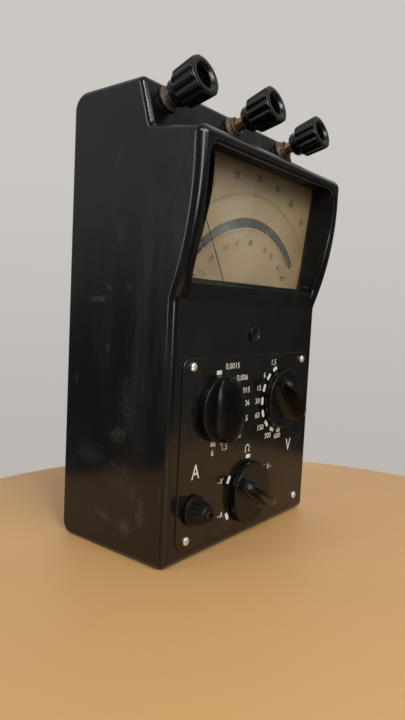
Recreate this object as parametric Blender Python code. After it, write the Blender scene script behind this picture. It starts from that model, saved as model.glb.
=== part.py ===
# Analog multimeter in a moulded case: tilted dial window, three range knobs,
# an ohm zero knob and three screw terminals on the sloping top face.
# Metres. X is right seen from the front, the front faces -Y, Z is up.
import math

import bmesh
import bpy
from mathutils import Matrix

# Case outline
caseWidth = 0.1186
caseDepth = 0.0662
caseHeight = 0.205
caseWall = 0.0035
headReach = 0.0113          # how far the dial head stands ahead of the lower panel
ledgeRise = 0.0027          # the ledge over the dial climbs this much to the block
blockHeight = 0.021         # terminal block above the ledge
blockDepth = 0.0503         # terminal block, measured from the back at the ledge
browHeight = 0.005          # head between the window and the ledge
flareDrop = 0.0093          # the flare turns upright this far under the ledge
barHeight = 0.0095          # sunk bar between the crease and the window sill
faceLean = math.radians(17.0)
rearTopRadius = 0.008
rearBottomRadius = 0.006
blockRadius = 0.003
notchRadius = 0.003
headRadius = 0.0045
bendRadius = 0.008
toeRadius = 0.004
frontSideRadius = 0.0035
blockSideRadius = 0.003
rimSideRadius = 0.002

# Dial window and the stack of parts behind it
cheekWidth = 0.0103         # case on each side of the window
windowHeight = 0.0528
windowRadius = 0.003
windowDraft = math.radians(12.0)   # side walls open towards the front
windowTopDraft = math.radians(1.0)
dialTilt = math.radians(6.6)
seatInset = 0.0046          # glass seat behind the lower panel, at the sill
sillDrop = 0.0026
sillSlope = 0.002
barSlope = math.radians(7.0)
glassThickness = 0.0018
glassLap = 0.0012
frameRail = 0.0012
frameSide = 0.0042
frameLip = 0.0012
frameDepth = 0.005
frameRadius = 0.0015
dialThickness = 0.0008
dialApron = 0.034           # dial sheet below the window
dialApronWidth = 0.07
dialMargin = 0.0002
dialHoleRoom = 0.0013       # dial hole past the ends of the front bridge
frameRoom = 0.001           # between the glass frame and the side walls
dialScrewHead = 0.0044
dialScrewThread = 0.002
dialScrewRise = 0.0014
dialScrewLength = 0.0085

# Movement
pivotDrop = 0.0235          # pivot under the sill, along the dial
magnetWall = 0.0085
poleGap = 0.00097           # coil corner to the pole face
coilEndRoom = 0.00055       # coil to the magnet floor, and the same in front
coreRadius = 0.0092
coreDepth = 0.0095
coreBar = 0.005
coilWire = 0.0011
coilClear = 0.0006
coilWidth = 0.0075
pivotRadius = 0.0007
bridgeThickness = 0.0012
bridgeWidth = 0.006
bridgeReach = 0.0155
yokeThickness = 0.002
needleLength = 0.066
needleTail = 0.011
needleRoot = 0.0011
needleTip = 0.0004
needleThickness = 0.0004
needleHub = 0.0022
needleLift = 0.0019         # needle in front of the dial face
restAngle = math.radians(36.0)
adjusterRadius = 0.0042
adjusterRise = 0.0009
adjusterStem = 0.0025
adjusterSlot = 0.0009
adjusterPin = 0.0006
adjusterReach = 0.0045      # stem behind the wall
adjusterPinReach = 0.0012
adjusterTurn = math.radians(60.0)

# Front plate
plateSideMargin = 0.0073    # case that shows beside the plate
plateHeadroom = 0.0241      # panel between the plate and the crease
plateBottom = 0.0066
plateThickness = 0.0014
plateRecess = 0.0008
plateRadius = 0.005
plateScrewInsetX = 0.0061
plateScrewInsetZ = 0.0039
plateScrewHead = 0.0038
plateScrewThread = 0.002
plateScrewRise = 0.0007
plateScrewLength = 0.0034
plateEdge = 0.0003

# Range knobs and their switches
rangeKnobInset = 0.0257     # range knobs from the plate's side edges
rangeKnobDrop = 0.0236      # and under its top edge
functionKnobRise = 0.016    # function knob over the plate's bottom edge
skirtRadius = 0.0152
skirtHeight = 0.0034
gripSetback = 0.0006        # ends of the grip inside the skirt's rim
gripHeight = 0.0133
gripEndHeight = 0.0058
gripFoot = 0.0075           # half width at the foot of the scooped sides
gripCrest = 0.0011
gripScoop = 2.2             # higher makes the scooped sides sharper
knobNutRoom = 0.00146       # round the nut under the knob
knobHollowDepth = 0.0026
knobEdge = 0.0008
knobBoreTop = 0.0056
knobLift = 0.0004
shaftRadius = 0.003
bushRadius = 0.0046
bushFlange = 0.0085
bushFlangeThickness = 0.0016
switchNutAcross = 0.0122
switchNutThickness = 0.0022
deckRadius = 0.0152
deckThickness = 0.0016
deckStandoff = 0.0095
postRadius = 0.0016
rotorRadius = 0.0085
rotorThickness = 0.0016
voltageRest = math.radians(42.0)
functionRest = math.radians(60.0)

# Ohm zero knob
ohmKnobInset = 0.0105       # from the plate's side edge
ohmKnobRise = 0.0164        # over the plate's bottom edge
ohmNutRoom = 0.00034        # round the nut under the knob
ohmWall = 0.0008
ohmSkirtLip = 0.0008
ohmSkirtHeight = 0.0011
ohmTaper = 0.0018
ohmBodyHeight = 0.0082
ohmRingRadius = 0.0029
ohmKnobLength = 0.0098
ohmFluteDepth = 0.0004
ohmFlutes = 12
ohmShaftRadius = 0.002
ohmBushRadius = 0.0034
ohmNutAcross = 0.0086
ohmNutThickness = 0.0016
ohmHollowDepth = 0.0025
potRadius = 0.008
potDepth = 0.009

# Screw terminals
terminalInset = 0.0133      # outer terminals from the sides of the case
terminalDrop = 0.0074       # axis under the block's top edge, along the sloping face
studRadius = 0.003
studTail = 0.0022           # stud past its inner nut
collarFlangeRadius = 0.0056
collarFlangeThickness = 0.0014
collarRadius = 0.0046
collarHeight = 0.0038
collarGroove = 0.0005
capLength = 0.0162
capNeckRadius = 0.006
capNeckLength = 0.0042
capRadius = 0.0083
capMouthRadius = 0.0088
capFluteDepth = 0.0008
capFlutes = 12
capRim = 0.0006
capSocketRadius = 0.0046
capSocketDepth = 0.0072
studJackRadius = 0.00205
studJackDepth = 0.006
terminalNutAcross = 0.0084
terminalNutThickness = 0.0026
washerRadius = 0.0052
washerThickness = 0.0008
capPitch = 0.0008
capTurnsOut = (0.0, 6.5, 5.5)    # how far each cap is unscrewed, left to right

# Back cover and battery
coverThickness = 0.003
coverRecess = 0.0006
openingMarginZ = 0.0062
openingTopMargin = 0.0058
coverPostRadius = 0.0046
coverScrewHead = 0.0064
coverScrewThread = 0.003
coverScrewLength = 0.009
coverScrewSink = 0.0016
lidBottom = 0.02
lidThickness = 0.0022
lidRadius = 0.003
lidLap = 0.0035
lidScrewHead = 0.0075
lidScrewThread = 0.003
lidScrewLength = 0.009
lidScrewSlot = 0.0012
screwBay = 0.013            # solid end of the tray that takes the lid screw
batteryEndRoom = 0.00175
batterySideRoom = 0.00275   # battery to the lid opening
trayWall = 0.0012
trayDepth = 0.0235
batteryWidth = 0.0475
batteryHeight = 0.0255
batteryDepth = 0.0165
batteryRadius = 0.003
batteryEdge = 0.0008

screwSlot = 0.0007

# Clearances
gap = 0.0003
seatGap = 0.00015
boreGap = 0.00025
threadGap = 0.0001
over = 0.002                # how far cutters pass through

backY = caseDepth / 2
frontY = -caseDepth / 2

# Heights, from the top of the case down
headTop = caseHeight - blockHeight - ledgeRise
flareTop = headTop - flareDrop
windowSill = headTop - browHeight - windowHeight
bendHeight = windowSill - barHeight
plateHeight = bendHeight - plateHeadroom - plateBottom
rangeKnobHeight = plateBottom + plateHeight - rangeKnobDrop
functionKnobHeight = plateBottom + functionKnobRise
ohmKnobHeight = plateBottom + ohmKnobRise
terminalRise = blockHeight / math.cos(faceLean) - terminalDrop

# Widths
windowWidth = caseWidth - 2 * cheekWidth
plateWidth = caseWidth - 2 * plateSideMargin
rangeKnobOffset = plateWidth / 2 - rangeKnobInset
ohmKnobX = plateWidth / 2 - ohmKnobInset
terminalSpacing = caseWidth / 2 - terminalInset
openingMarginX = cheekWidth - glassLap - gap - frameSide - frameRoom

# Pieces round their neighbours
gripReach = skirtRadius - gripSetback
knobHollowRadius = switchNutAcross / math.sqrt(3.0) + knobNutRoom
ohmHollowRadius = ohmNutAcross / math.sqrt(3.0) + ohmNutRoom
ohmBodyRadius = ohmHollowRadius + ohmWall
ohmSkirtRadius = ohmBodyRadius + ohmSkirtLip
ohmTipRadius = ohmBodyRadius - ohmTaper
coilReach = coreRadius + coilClear + coilWire
poleRadius = math.hypot(coilReach, coilWidth / 2) + poleGap
magnetRadius = poleRadius + magnetWall
magnetDepth = coreDepth + 2 * (coilClear + coilWire + coilEndRoom)
dialHole = bridgeReach + dialHoleRoom
lidWidth = batteryWidth + 2 * batteryEndRoom + screwBay
lidHeight = batteryHeight + 2 * batterySideRoom + 2 * lidLap

bakelite = ("black_bakelite", (0.012, 0.012, 0.013), 0.22, 0.0)
plateFinish = ("plate_lacquer", (0.030, 0.024, 0.018), 0.18, 0.0)
knobFinish = ("knob_bakelite", (0.014, 0.014, 0.015), 0.3, 0.0)
dialPaper = ("dial_paper", (0.60, 0.47, 0.29), 0.55, 0.0)
glassFinish = ("window_glass", (0.9, 0.93, 0.92), 0.04, 0.0)
nickel = ("aged_nickel", (0.62, 0.60, 0.55), 0.3, 1.0)
brass = ("aged_brass", (0.48, 0.36, 0.18), 0.36, 1.0)
steel = ("dull_steel", (0.5, 0.5, 0.5), 0.42, 1.0)
magnetSteel = ("magnet_steel", (0.2, 0.2, 0.21), 0.5, 1.0)
phenolic = ("phenolic_board", (0.30, 0.16, 0.07), 0.55, 0.0)
copper = ("coil_copper", (0.62, 0.27, 0.12), 0.35, 1.0)
needleBlack = ("needle_black", (0.02, 0.02, 0.02), 0.4, 0.0)
batteryWrap = ("battery_wrap", (0.22, 0.05, 0.04), 0.5, 0.0)


def clearScene():
    for item in list(bpy.data.objects):
        bpy.data.objects.remove(item, do_unlink=True)


def finish(key):
    name, color, roughness, metallic = key
    found = bpy.data.materials.get(name)
    if found:
        return found
    made = bpy.data.materials.new(name)
    made.use_nodes = True
    shader = made.node_tree.nodes["Principled BSDF"]
    shader.inputs["Base Color"].default_value = (*color, 1.0)
    shader.inputs["Roughness"].default_value = roughness
    shader.inputs["Metallic"].default_value = metallic
    return made


def placed(name, bm, key, location=(0.0, 0.0, 0.0), turn=None, sharp=35.0):
    bmesh.ops.recalc_face_normals(bm, faces=bm.faces)
    mesh = bpy.data.meshes.new(name)
    bm.to_mesh(mesh)
    bm.free()
    for face in mesh.polygons:
        face.use_smooth = True
    mesh.set_sharp_from_angle(angle=math.radians(sharp))
    item = bpy.data.objects.new(name, mesh)
    bpy.context.scene.collection.objects.link(item)
    item.location = location
    if turn is not None:
        item.rotation_euler = turn.to_euler()
    if key:
        mesh.materials.append(finish(key))
    return item


def cutter(name, bm, location=(0.0, 0.0, 0.0), turn=None):
    item = placed(name, bm, None, location, turn)
    item.hide_render = True
    item.display_type = "WIRE"
    return item


def combine(item, tool, operation="DIFFERENCE"):
    step = item.modifiers.new(tool.name, "BOOLEAN")
    step.operation = operation
    step.solver = "EXACT"
    step.object = tool


# Solids
def addLathe(bm, outline, segments, matrix=None, closed=False, ripple=None):
    # outline holds (radius, height) pairs; ripple gives a factor for one angle and row
    rows = []
    fresh = []
    for row, (radius, height) in enumerate(outline):
        if radius == 0:
            ring = [bm.verts.new((0.0, 0.0, height))]
        else:
            ring = []
            for step in range(segments):
                angle = math.tau * step / segments
                reach = radius - (ripple(angle, row) if ripple else 0.0)
                ring.append(bm.verts.new((reach * math.cos(angle), reach * math.sin(angle), height)))
        rows.append(ring)
        fresh += ring
    pairs = list(zip(rows, rows[1:]))
    if closed:
        pairs.append((rows[-1], rows[0]))
    for low, high in pairs:
        for step in range(segments):
            after = (step + 1) % segments
            if len(low) == 1:
                bm.faces.new((low[0], high[after], high[step]))
            elif len(high) == 1:
                bm.faces.new((low[step], low[after], high[0]))
            else:
                bm.faces.new((low[step], low[after], high[after], high[step]))
    if matrix is not None:
        bmesh.ops.transform(bm, matrix=matrix, verts=fresh)
    return bm


def lathe(outline, segments, closed=False, ripple=None):
    return addLathe(bmesh.new(), outline, segments, None, closed, ripple)


def addRod(bm, radius, bottom, top, segments=24, matrix=None):
    return addLathe(bm, [(0.0, bottom), (radius, bottom), (radius, top), (0.0, top)], segments, matrix)


def addSections(bm, sections, matrix=None):
    # each section is an outline and its height, all with the same number of points
    rings = [[bm.verts.new((x, y, height)) for x, y in outline] for outline, height in sections]
    count = len(rings[0])
    for low, high in zip(rings, rings[1:]):
        for step in range(count):
            after = (step + 1) % count
            bm.faces.new((low[step], low[after], high[after], high[step]))
    bm.faces.new(list(reversed(rings[0])))
    bm.faces.new(rings[-1])
    if matrix is not None:
        bmesh.ops.transform(bm, matrix=matrix, verts=[point for ring in rings for point in ring])
    return bm


def addPrism(bm, outline, bottom, top, matrix=None):
    return addSections(bm, [(outline, bottom), (outline, top)], matrix)


def prism(outline, bottom, top, matrix=None):
    return addPrism(bmesh.new(), outline, bottom, top, matrix)


def flutes(count, depth, rows):
    # every third point of the named rows is drawn in
    def ripple(angle, row):
        step = round(angle * count * 3 / math.tau)
        return depth if row in rows and step % 3 == 0 else 0.0

    return ripple


def roundRect(width, height, radius, steps=5, center=(0.0, 0.0)):
    points = []
    for quarter in range(4):
        signX = 1 if quarter in (0, 3) else -1
        signY = 1 if quarter in (0, 1) else -1
        midX = center[0] + signX * (width / 2 - radius)
        midY = center[1] + signY * (height / 2 - radius)
        for step in range(steps + 1):
            angle = math.radians(90.0) * (quarter + step / steps)
            points.append((midX + radius * math.cos(angle), midY + radius * math.sin(angle)))
    return points


def hexagon(across, phase=0.0):
    reach = across / math.sqrt(3.0)
    return [(reach * math.cos(math.radians(60.0) * step + phase),
             reach * math.sin(math.radians(60.0) * step + phase)) for step in range(6)]


def softened(item, width, segments=2, angle=40.0):
    step = item.modifiers.new("edge_round", "BEVEL")
    step.width = width
    step.segments = segments
    step.limit_method = "ANGLE"
    step.angle_limit = math.radians(angle)
    step.miter_outer = "MITER_SHARP"
    return item


def outlineRing(corners, arcSteps):
    # corners run counter-clockwise as (y, z, radius, side radius)
    points = []
    count = len(corners)
    for index, (y, z, radius, side) in enumerate(corners):
        before = corners[index - 1]
        after = corners[(index + 1) % count]
        inY, inZ = y - before[0], z - before[1]
        outY, outZ = after[0] - y, after[1] - z
        inLength = math.hypot(inY, inZ)
        outLength = math.hypot(outY, outZ)
        inY, inZ, outY, outZ = inY / inLength, inZ / inLength, outY / outLength, outZ / outLength
        turnAngle = math.atan2(inY * outZ - inZ * outY, inY * outY + inZ * outZ)
        if radius == 0:
            normalY, normalZ = inZ + outZ, -inY - outY
            size = math.hypot(normalY, normalZ)
            points.append((y, z, normalY / size, normalZ / size, side))
            continue
        reach = radius * math.tan(abs(turnAngle) / 2)
        bend = 1 if turnAngle > 0 else -1
        startY, startZ = y - inY * reach, z - inZ * reach
        midY, midZ = startY - bend * inZ * radius, startZ + bend * inY * radius
        steps = max(1, round(arcSteps * abs(turnAngle) / math.radians(90.0)))
        for step in range(steps + 1):
            angle = turnAngle * step / steps
            normalY = inZ * math.cos(angle) + inY * math.sin(angle)
            normalZ = -inY * math.cos(angle) + inZ * math.sin(angle)
            points.append((midY + bend * normalY * radius, midZ + bend * normalZ * radius,
                           normalY, normalZ, side))
    return points


def loftedCase(points, width, sideSteps):
    bm = bmesh.new()
    rings = []
    for sign in (-1, 1):
        order = range(sideSteps, -1, -1) if sign < 0 else range(sideSteps + 1)
        for step in order:
            angle = math.radians(90.0) * step / sideSteps
            ring = []
            for y, z, normalY, normalZ, side in points:
                inset = side * (1 - math.cos(angle))
                x = sign * (width / 2 - side * (1 - math.sin(angle)))
                ring.append(bm.verts.new((x, y - normalY * inset, z - normalZ * inset)))
            rings.append(ring)
    count = len(points)
    for low, high in zip(rings, rings[1:]):
        for step in range(count):
            after = (step + 1) % count
            bm.faces.new((low[step], low[after], high[after], high[step]))
    bm.faces.new(rings[0])
    bm.faces.new(list(reversed(rings[-1])))
    return bm


# Directions: each local +Z points out of the face that the part sits on
frontTurn = Matrix.Rotation(math.radians(90.0), 3, "X")
backTurn = Matrix.Rotation(math.radians(-90.0), 3, "X")
dialTurn = Matrix.Rotation(math.radians(90.0) + dialTilt, 3, "X")
dialBackTurn = Matrix.Rotation(math.radians(-90.0) + dialTilt, 3, "X")
terminalTurn = Matrix.Rotation(math.radians(90.0) - faceLean, 3, "X")


def fromFront(x, z, out=0.0):
    return (x, frontY - out, z)


def onDial(x, up, out=0.0):
    # up runs along the glass seat from the sill, out points to the viewer
    y = frontY + seatInset - up * math.sin(dialTilt) - out * math.cos(dialTilt)
    z = windowSill + up * math.cos(dialTilt) - out * math.sin(dialTilt)
    return (x, y, z)


def onTerminal(x, out=0.0):
    notchY = backY - blockDepth
    notchZ = headTop + ledgeRise
    y = notchY + terminalRise * math.sin(faceLean) - out * math.cos(faceLean)
    z = notchZ + terminalRise * math.cos(faceLean) + out * math.sin(faceLean)
    return (x, y, z)


def spun(turn, angle):
    return turn @ Matrix.Rotation(angle, 3, "Z")


def moved(location, turn):
    return Matrix.Translation(location) @ turn.to_4x4()


glassBack = -seatGap - glassThickness
dialFace = -frameDepth - 2 * seatGap
openingWidth = caseWidth - 2 * openingMarginX
openingTop = caseHeight - openingTopMargin
terminalXs = (-terminalSpacing, 0.0, terminalSpacing)
switchSpots = (("current", -rangeKnobOffset, rangeKnobHeight, 0.0),
               ("voltage", rangeKnobOffset, rangeKnobHeight, voltageRest),
               ("function", 0.0, functionKnobHeight, functionRest))
plateFace = plateThickness - plateRecess
plateScrewXs = (-plateWidth / 2 + plateScrewInsetX, plateWidth / 2 - plateScrewInsetX)
plateScrewZs = (plateBottom + plateHeight - plateScrewInsetZ, plateBottom + plateScrewInsetZ)
plateMiddle = plateBottom + plateHeight / 2
coverPostX = openingWidth / 2 - coverPostRadius
coverPostZs = (openingTop - coverPostRadius, openingMarginZ + coverPostRadius)
dialScrewX = windowWidth / 2 + glassLap + gap + frameSide / 2
dialScrewXs = (-dialScrewX, dialScrewX)
dialScrewUp = windowHeight / 2


def buildCase():
    flareLength = flareTop - bendHeight
    flareRadius = (flareLength ** 2 + headReach ** 2) / (2 * headReach)
    flareAngle = math.asin(flareLength / flareRadius)
    headY = frontY - headReach
    notchY = backY - blockDepth
    notchZ = headTop + ledgeRise
    blockTopY = notchY + (caseHeight - notchZ) * math.tan(faceLean)
    flareSteps = 7
    corners = [(backY, 0.0, rearBottomRadius, rimSideRadius),
               (backY, caseHeight, rearTopRadius, rimSideRadius),
               (blockTopY, caseHeight, blockRadius, blockSideRadius),
               (notchY, notchZ, notchRadius, blockSideRadius),
               (headY, headTop, headRadius, frontSideRadius)]
    for step in range(flareSteps):
        angle = flareAngle * step / flareSteps
        corners.append((headY + flareRadius * (1 - math.cos(angle)),
                        flareTop - flareRadius * math.sin(angle), 0.0, frontSideRadius))
    corners.append((frontY, bendHeight, bendRadius, frontSideRadius))
    corners.append((frontY, 0.0, toeRadius, frontSideRadius))
    case = placed("case_shell", loftedCase(outlineRing(corners, 4), caseWidth, 4), bakelite)

    # the inside, open at the back
    innerY = frontY + caseWall
    seatEdge = glassLap + frameRail + 3 * gap
    seatLow = onDial(0.0, -seatEdge)
    seatHigh = onDial(0.0, windowHeight + seatEdge)
    ceiling = headTop + ledgeRise - caseWall
    roof = caseHeight - caseWall
    lean = (roof - ceiling) * math.tan(faceLean)
    innerNotchY = notchY + caseWall / math.cos(faceLean) - (notchZ - ceiling) * math.tan(faceLean)
    bottom = openingMarginZ
    inner = [(backY + over, bottom), (backY + over, openingTop), (backY - rearTopRadius, openingTop),
             (backY - rearTopRadius - caseWall, roof), (innerNotchY + lean, roof),
             (innerNotchY, ceiling), (seatHigh[1], seatHigh[2]), (seatLow[1], seatLow[2]),
             (innerY, seatLow[2] - sillDrop), (innerY, bottom)]
    toX = Matrix(((0, 0, 1, 0), (1, 0, 0, 0), (0, 1, 0, 0), (0, 0, 0, 1)))
    hollow = prism(inner, -openingWidth / 2, openingWidth / 2, toX)
    combine(case, cutter("case_hollow", hollow))

    # posts for the cover screws, one in each corner of the opening
    posts = bmesh.new()
    postTop = coverThickness + coverRecess + seatGap
    size = coverPostRadius * 2 + openingMarginX / 2
    for x in (-coverPostX, coverPostX):
        for z in coverPostZs:
            side = math.copysign(openingMarginX / 4, x)
            lift = math.copysign(openingMarginX / 4, z - bendHeight)
            spot = moved((x + side, backY, z + lift), backTurn)
            floor = -blockDepth / 2 if z > bendHeight else -caseDepth + caseWall / 2
            addPrism(posts, roundRect(size, size, coverPostRadius / 2, 3), floor, -postTop, spot)
    combine(case, cutter("cover_posts", posts), "UNION")

    # the window opening and the sunk bar under it
    reach = headReach * 2
    flare = math.tan(windowDraft)
    seat = roundRect(windowWidth, windowHeight, windowRadius, 3)
    spread = reach * flare
    rise = reach * math.tan(windowTopDraft)
    mouth = [(x + math.copysign(spread, x), y + (rise if y > 0 else 0.0)) for x, y in seat]
    window = bmesh.new()
    middle = moved(onDial(0.0, windowHeight / 2), dialTurn)
    addSections(window, [(seat, -over), (seat, 0.0), (mouth, reach)], middle)
    combine(case, cutter("window_cutter", window))
    barY = frontY - threadGap
    sillY = barY - (windowSill - sillDrop - bendHeight) * math.tan(barSlope)
    bar = [(barY, bendHeight), (sillY, windowSill - sillDrop),
           (sillY + sillSlope, windowSill + threadGap), (frontY - headReach * 2, windowSill + sillSlope),
           (frontY - headReach * 2, bendHeight)]
    barSolid = prism(bar, -windowWidth / 2, windowWidth / 2, toX)
    for point in barSolid.verts:
        point.co.x += math.copysign((frontY + seatInset - point.co.y) * flare, point.co.x)
    combine(case, cutter("bar_cutter", barSolid))

    # plate recess, then every hole
    recess = roundRect(plateWidth + 2 * gap, plateHeight + 2 * gap, plateRadius, 4)
    spot = moved(fromFront(0.0, plateMiddle), frontTurn)
    combine(case, cutter("plate_recess", prism(recess, -plateRecess, over, spot)))
    holes = bmesh.new()
    for name, x, z, rest in switchSpots:
        addRod(holes, bushRadius + boreGap, -caseWall - over, over, 20, moved(fromFront(x, z), frontTurn))
    spot = moved(fromFront(-ohmKnobX, ohmKnobHeight), frontTurn)
    addRod(holes, ohmBushRadius + boreGap, -caseWall - over, over, 16, spot)
    spot = moved(fromFront(0.0, adjusterZ()), frontTurn)
    addRod(holes, adjusterStem + boreGap, -caseWall - over, over, 16, spot)
    for x in plateScrewXs:
        for z in plateScrewZs:
            spot = moved(fromFront(x, z), frontTurn)
            low = plateFace - plateScrewLength - threadGap
            addRod(holes, plateScrewThread / 2 + threadGap, low, over, 10, spot)
    for x in terminalXs:
        addRod(holes, studRadius + boreGap, -caseWall * 2, over, 16, moved(onTerminal(x), terminalTurn))
    tip = dialScrewLength - frameDepth - dialThickness - 3 * seatGap
    for x in dialScrewXs:
        spot = moved(onDial(x, dialScrewUp), dialTurn)
        addRod(holes, dialScrewThread / 2 + threadGap, -over, tip + threadGap, 10, spot)
    for x in (-coverPostX, coverPostX):
        for z in coverPostZs:
            spot = moved((x, backY, z), backTurn)
            low = -coverScrewLength - coverThickness
            addRod(holes, coverScrewThread / 2 + threadGap, low, over, 12, spot)
    combine(case, cutter("case_holes", holes))
    return case


def adjusterZ():
    return onDial(0.0, -pivotDrop, seatInset)[2]


def slottedScrew(name, headRadius, headHeight, threadRadius, length, location, turn, key, dome=0.0,
                 slot=screwSlot, segments=20):
    # head sits on z = 0 and the thread runs down from it
    rise = headHeight + dome
    outline = [(0.0, -length), (threadRadius, -length), (threadRadius, 0.0), (headRadius, 0.0),
               (headRadius, headHeight)]
    if dome > 0:
        outline.append((headRadius * math.sin(math.radians(50.0)), headHeight + dome / 2))
    outline.append((0.0, rise))
    screw = placed(name, lathe(outline, segments), key, location, turn)
    cut = roundRect(headRadius * 2 + over, slot, slot / 4, 1)
    tool = cutter(name + "_slot", prism(cut, rise - headHeight * 0.6, rise + over), location, turn)
    combine(screw, tool)
    return screw


def steppedHole(thread, head, thickness, sink):
    # shank hole and counterbore in one outline
    low = -thickness - over
    shank = thread / 2 + boreGap
    wide = head / 2 + gap
    return [(0.0, low), (shank, low), (shank, -sink), (wide, -sink), (wide, over), (0.0, over)]


def buildCover():
    coverWidth = openingWidth - 2 * gap
    coverHeight = openingTop - openingMarginZ - 2 * gap
    coverMiddle = (openingTop + openingMarginZ) / 2
    face = backY - coverRecess
    sheet = roundRect(coverWidth, coverHeight, gap, 1)
    cover = placed("back_cover", prism(sheet, -coverThickness, 0.0), bakelite,
                   (0.0, face, coverMiddle), backTurn)
    lidMiddle = lidBottom + lidHeight / 2
    at = moved((0.0, face, lidMiddle), backTurn)
    cuts = bmesh.new()
    addPrism(cuts, roundRect(lidWidth + 2 * gap, lidHeight + 2 * gap, lidRadius, 4),
             -lidThickness - seatGap, over, at)
    combine(cover, cutter("lid_recess", cuts))
    cuts = bmesh.new()
    addPrism(cuts, roundRect(lidWidth - 2 * lidLap, lidHeight - 2 * lidLap, lidRadius, 3),
             -coverThickness - over, 0.0, at)
    combine(cover, cutter("lid_opening", cuts))
    spots = [(x, z) for z in coverPostZs for x in (-coverPostX, coverPostX)]
    holes = bmesh.new()
    for x, z in spots:
        addLathe(holes, steppedHole(coverScrewThread, coverScrewHead, coverThickness, coverScrewSink), 20,
                 moved((x, face, z), backTurn))
    combine(cover, cutter("cover_holes", holes))
    for index, (x, z) in enumerate(spots):
        slottedScrew("cover_screw_%d" % (index + 1), coverScrewHead / 2, coverScrewSink - gap,
                     coverScrewThread / 2, coverScrewLength, (x, face - coverScrewSink + seatGap, z),
                     backTurn, nickel, segments=14)

    # the battery lid, its coin screw, the tray behind the opening and the battery
    lid = placed("battery_lid", prism(roundRect(lidWidth, lidHeight, lidRadius, 4), -lidThickness, 0.0),
                 bakelite, (0.0, face, lidMiddle), backTurn)
    screwX = lidWidth / 2 - lidScrewHead / 2 - lidLap
    at = moved((screwX, face, lidMiddle), backTurn)
    sink = lidThickness / 2
    hole = addLathe(bmesh.new(), steppedHole(lidScrewThread, lidScrewHead, lidThickness, sink), 20, at)
    combine(lid, cutter("lid_hole", hole))
    slottedScrew("lid_screw", lidScrewHead / 2, sink - seatGap, lidScrewThread / 2, lidScrewLength,
                 (screwX, face - sink + seatGap, lidMiddle), backTurn, nickel, 0.0, lidScrewSlot, 20)
    trayWidth = lidWidth + 2 * trayWall
    trayHeight = lidHeight + 2 * trayWall
    trayY = face - coverThickness - seatGap
    tray = placed("battery_tray", prism(roundRect(trayWidth, trayHeight, lidRadius, 3), -trayDepth, 0.0),
                  phenolic, (0.0, trayY, lidMiddle), backTurn)
    bay = prism(roundRect(lidWidth - screwBay, lidHeight, lidRadius - trayWall, 2),
                trayWall - trayDepth, over, moved((-screwBay / 2, trayY, lidMiddle), backTurn))
    combine(tray, cutter("tray_bay", bay))
    hole = addRod(bmesh.new(), lidScrewThread / 2 + threadGap, -lidScrewLength, over, 12,
                  moved((screwX, trayY, lidMiddle), backTurn))
    combine(tray, cutter("tray_hole", hole))
    bayX = -screwBay / 2
    rise = trayY - trayDepth + trayWall + seatGap
    block = roundRect(batteryWidth, batteryHeight, batteryRadius, 3)
    battery = placed("battery", prism(block, 0.0, batteryDepth), batteryWrap,
                     (bayX, rise, lidMiddle), backTurn)
    softened(battery, batteryEdge, 1)


def buildWindow():
    paneWidth = windowWidth + 2 * glassLap
    paneHeight = windowHeight + 2 * glassLap
    middle = onDial(0.0, windowHeight / 2)
    pane = roundRect(paneWidth, paneHeight, frameRadius, 2)
    placed("window_glass", prism(pane, glassBack, -seatGap), glassFinish, middle, dialTurn)
    frameWidth = paneWidth + 2 * gap + 2 * frameSide
    frameHeight = paneHeight + 2 * gap + 2 * frameRail
    border = roundRect(frameWidth, frameHeight, frameRadius, 2)
    frame = placed("glass_frame", prism(border, -frameDepth, -seatGap), bakelite, middle, dialTurn)
    pocket = prism(roundRect(paneWidth + 2 * gap, paneHeight + 2 * gap, frameRadius, 2),
                   glassBack - seatGap, over)
    combine(frame, cutter("frame_pocket", pocket, middle, dialTurn))
    sight = prism(roundRect(windowWidth + frameLip, windowHeight + frameLip, windowRadius, 3),
                  -frameDepth - over, over)
    combine(frame, cutter("frame_sight", sight, middle, dialTurn))
    # the lower rail is thinner where the needle passes over it
    sweep = pivotDrop * math.tan(restAngle) + needleTail
    notch = prism(roundRect(sweep * 2, frameRail * 6, gap, 1), -frameDepth - over,
                  dialFace + needleLift + needleThickness + 2 * gap, moved(onDial(0.0, 0.0), dialTurn))
    combine(frame, cutter("needle_notch", notch))
    holes = bmesh.new()
    for x in dialScrewXs:
        spot = moved(onDial(x, dialScrewUp), dialTurn)
        addRod(holes, dialScrewThread / 2 + boreGap, -frameDepth - over, over, 10, spot)
    combine(frame, cutter("frame_holes", holes))

    # the dial sheet: wide behind the window, narrower below it, open round the pivot
    left = frameWidth / 2 - dialMargin
    apron = dialApronWidth / 2
    top = frameHeight / 2 - dialMargin
    low = -top
    bottom = -windowHeight / 2 - dialApron
    back = dialFace - dialThickness
    outline = [(-left, top), (-left, low), (-apron, low), (-apron, bottom), (apron, bottom), (apron, low),
               (left, low), (left, top)]
    dial = placed("dial_sheet", prism(outline, back, dialFace), dialPaper, middle, dialTurn)
    holes = bmesh.new()
    spot = moved(onDial(0.0, -pivotDrop), dialTurn)
    addRod(holes, dialHole, back - over, dialFace + over, 28, spot)
    for x in dialScrewXs:
        spot = moved(onDial(x, dialScrewUp), dialTurn)
        addRod(holes, dialScrewThread / 2 + boreGap, back - over, dialFace + over, 10, spot)
    combine(dial, cutter("dial_holes", holes))
    for index, x in enumerate(dialScrewXs):
        slottedScrew("dial_screw_%d" % (index + 1), dialScrewHead / 2, dialScrewRise, dialScrewThread / 2,
                     dialScrewLength, onDial(x, dialScrewUp, back - seatGap), dialBackTurn, steel,
                     segments=14)


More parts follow.
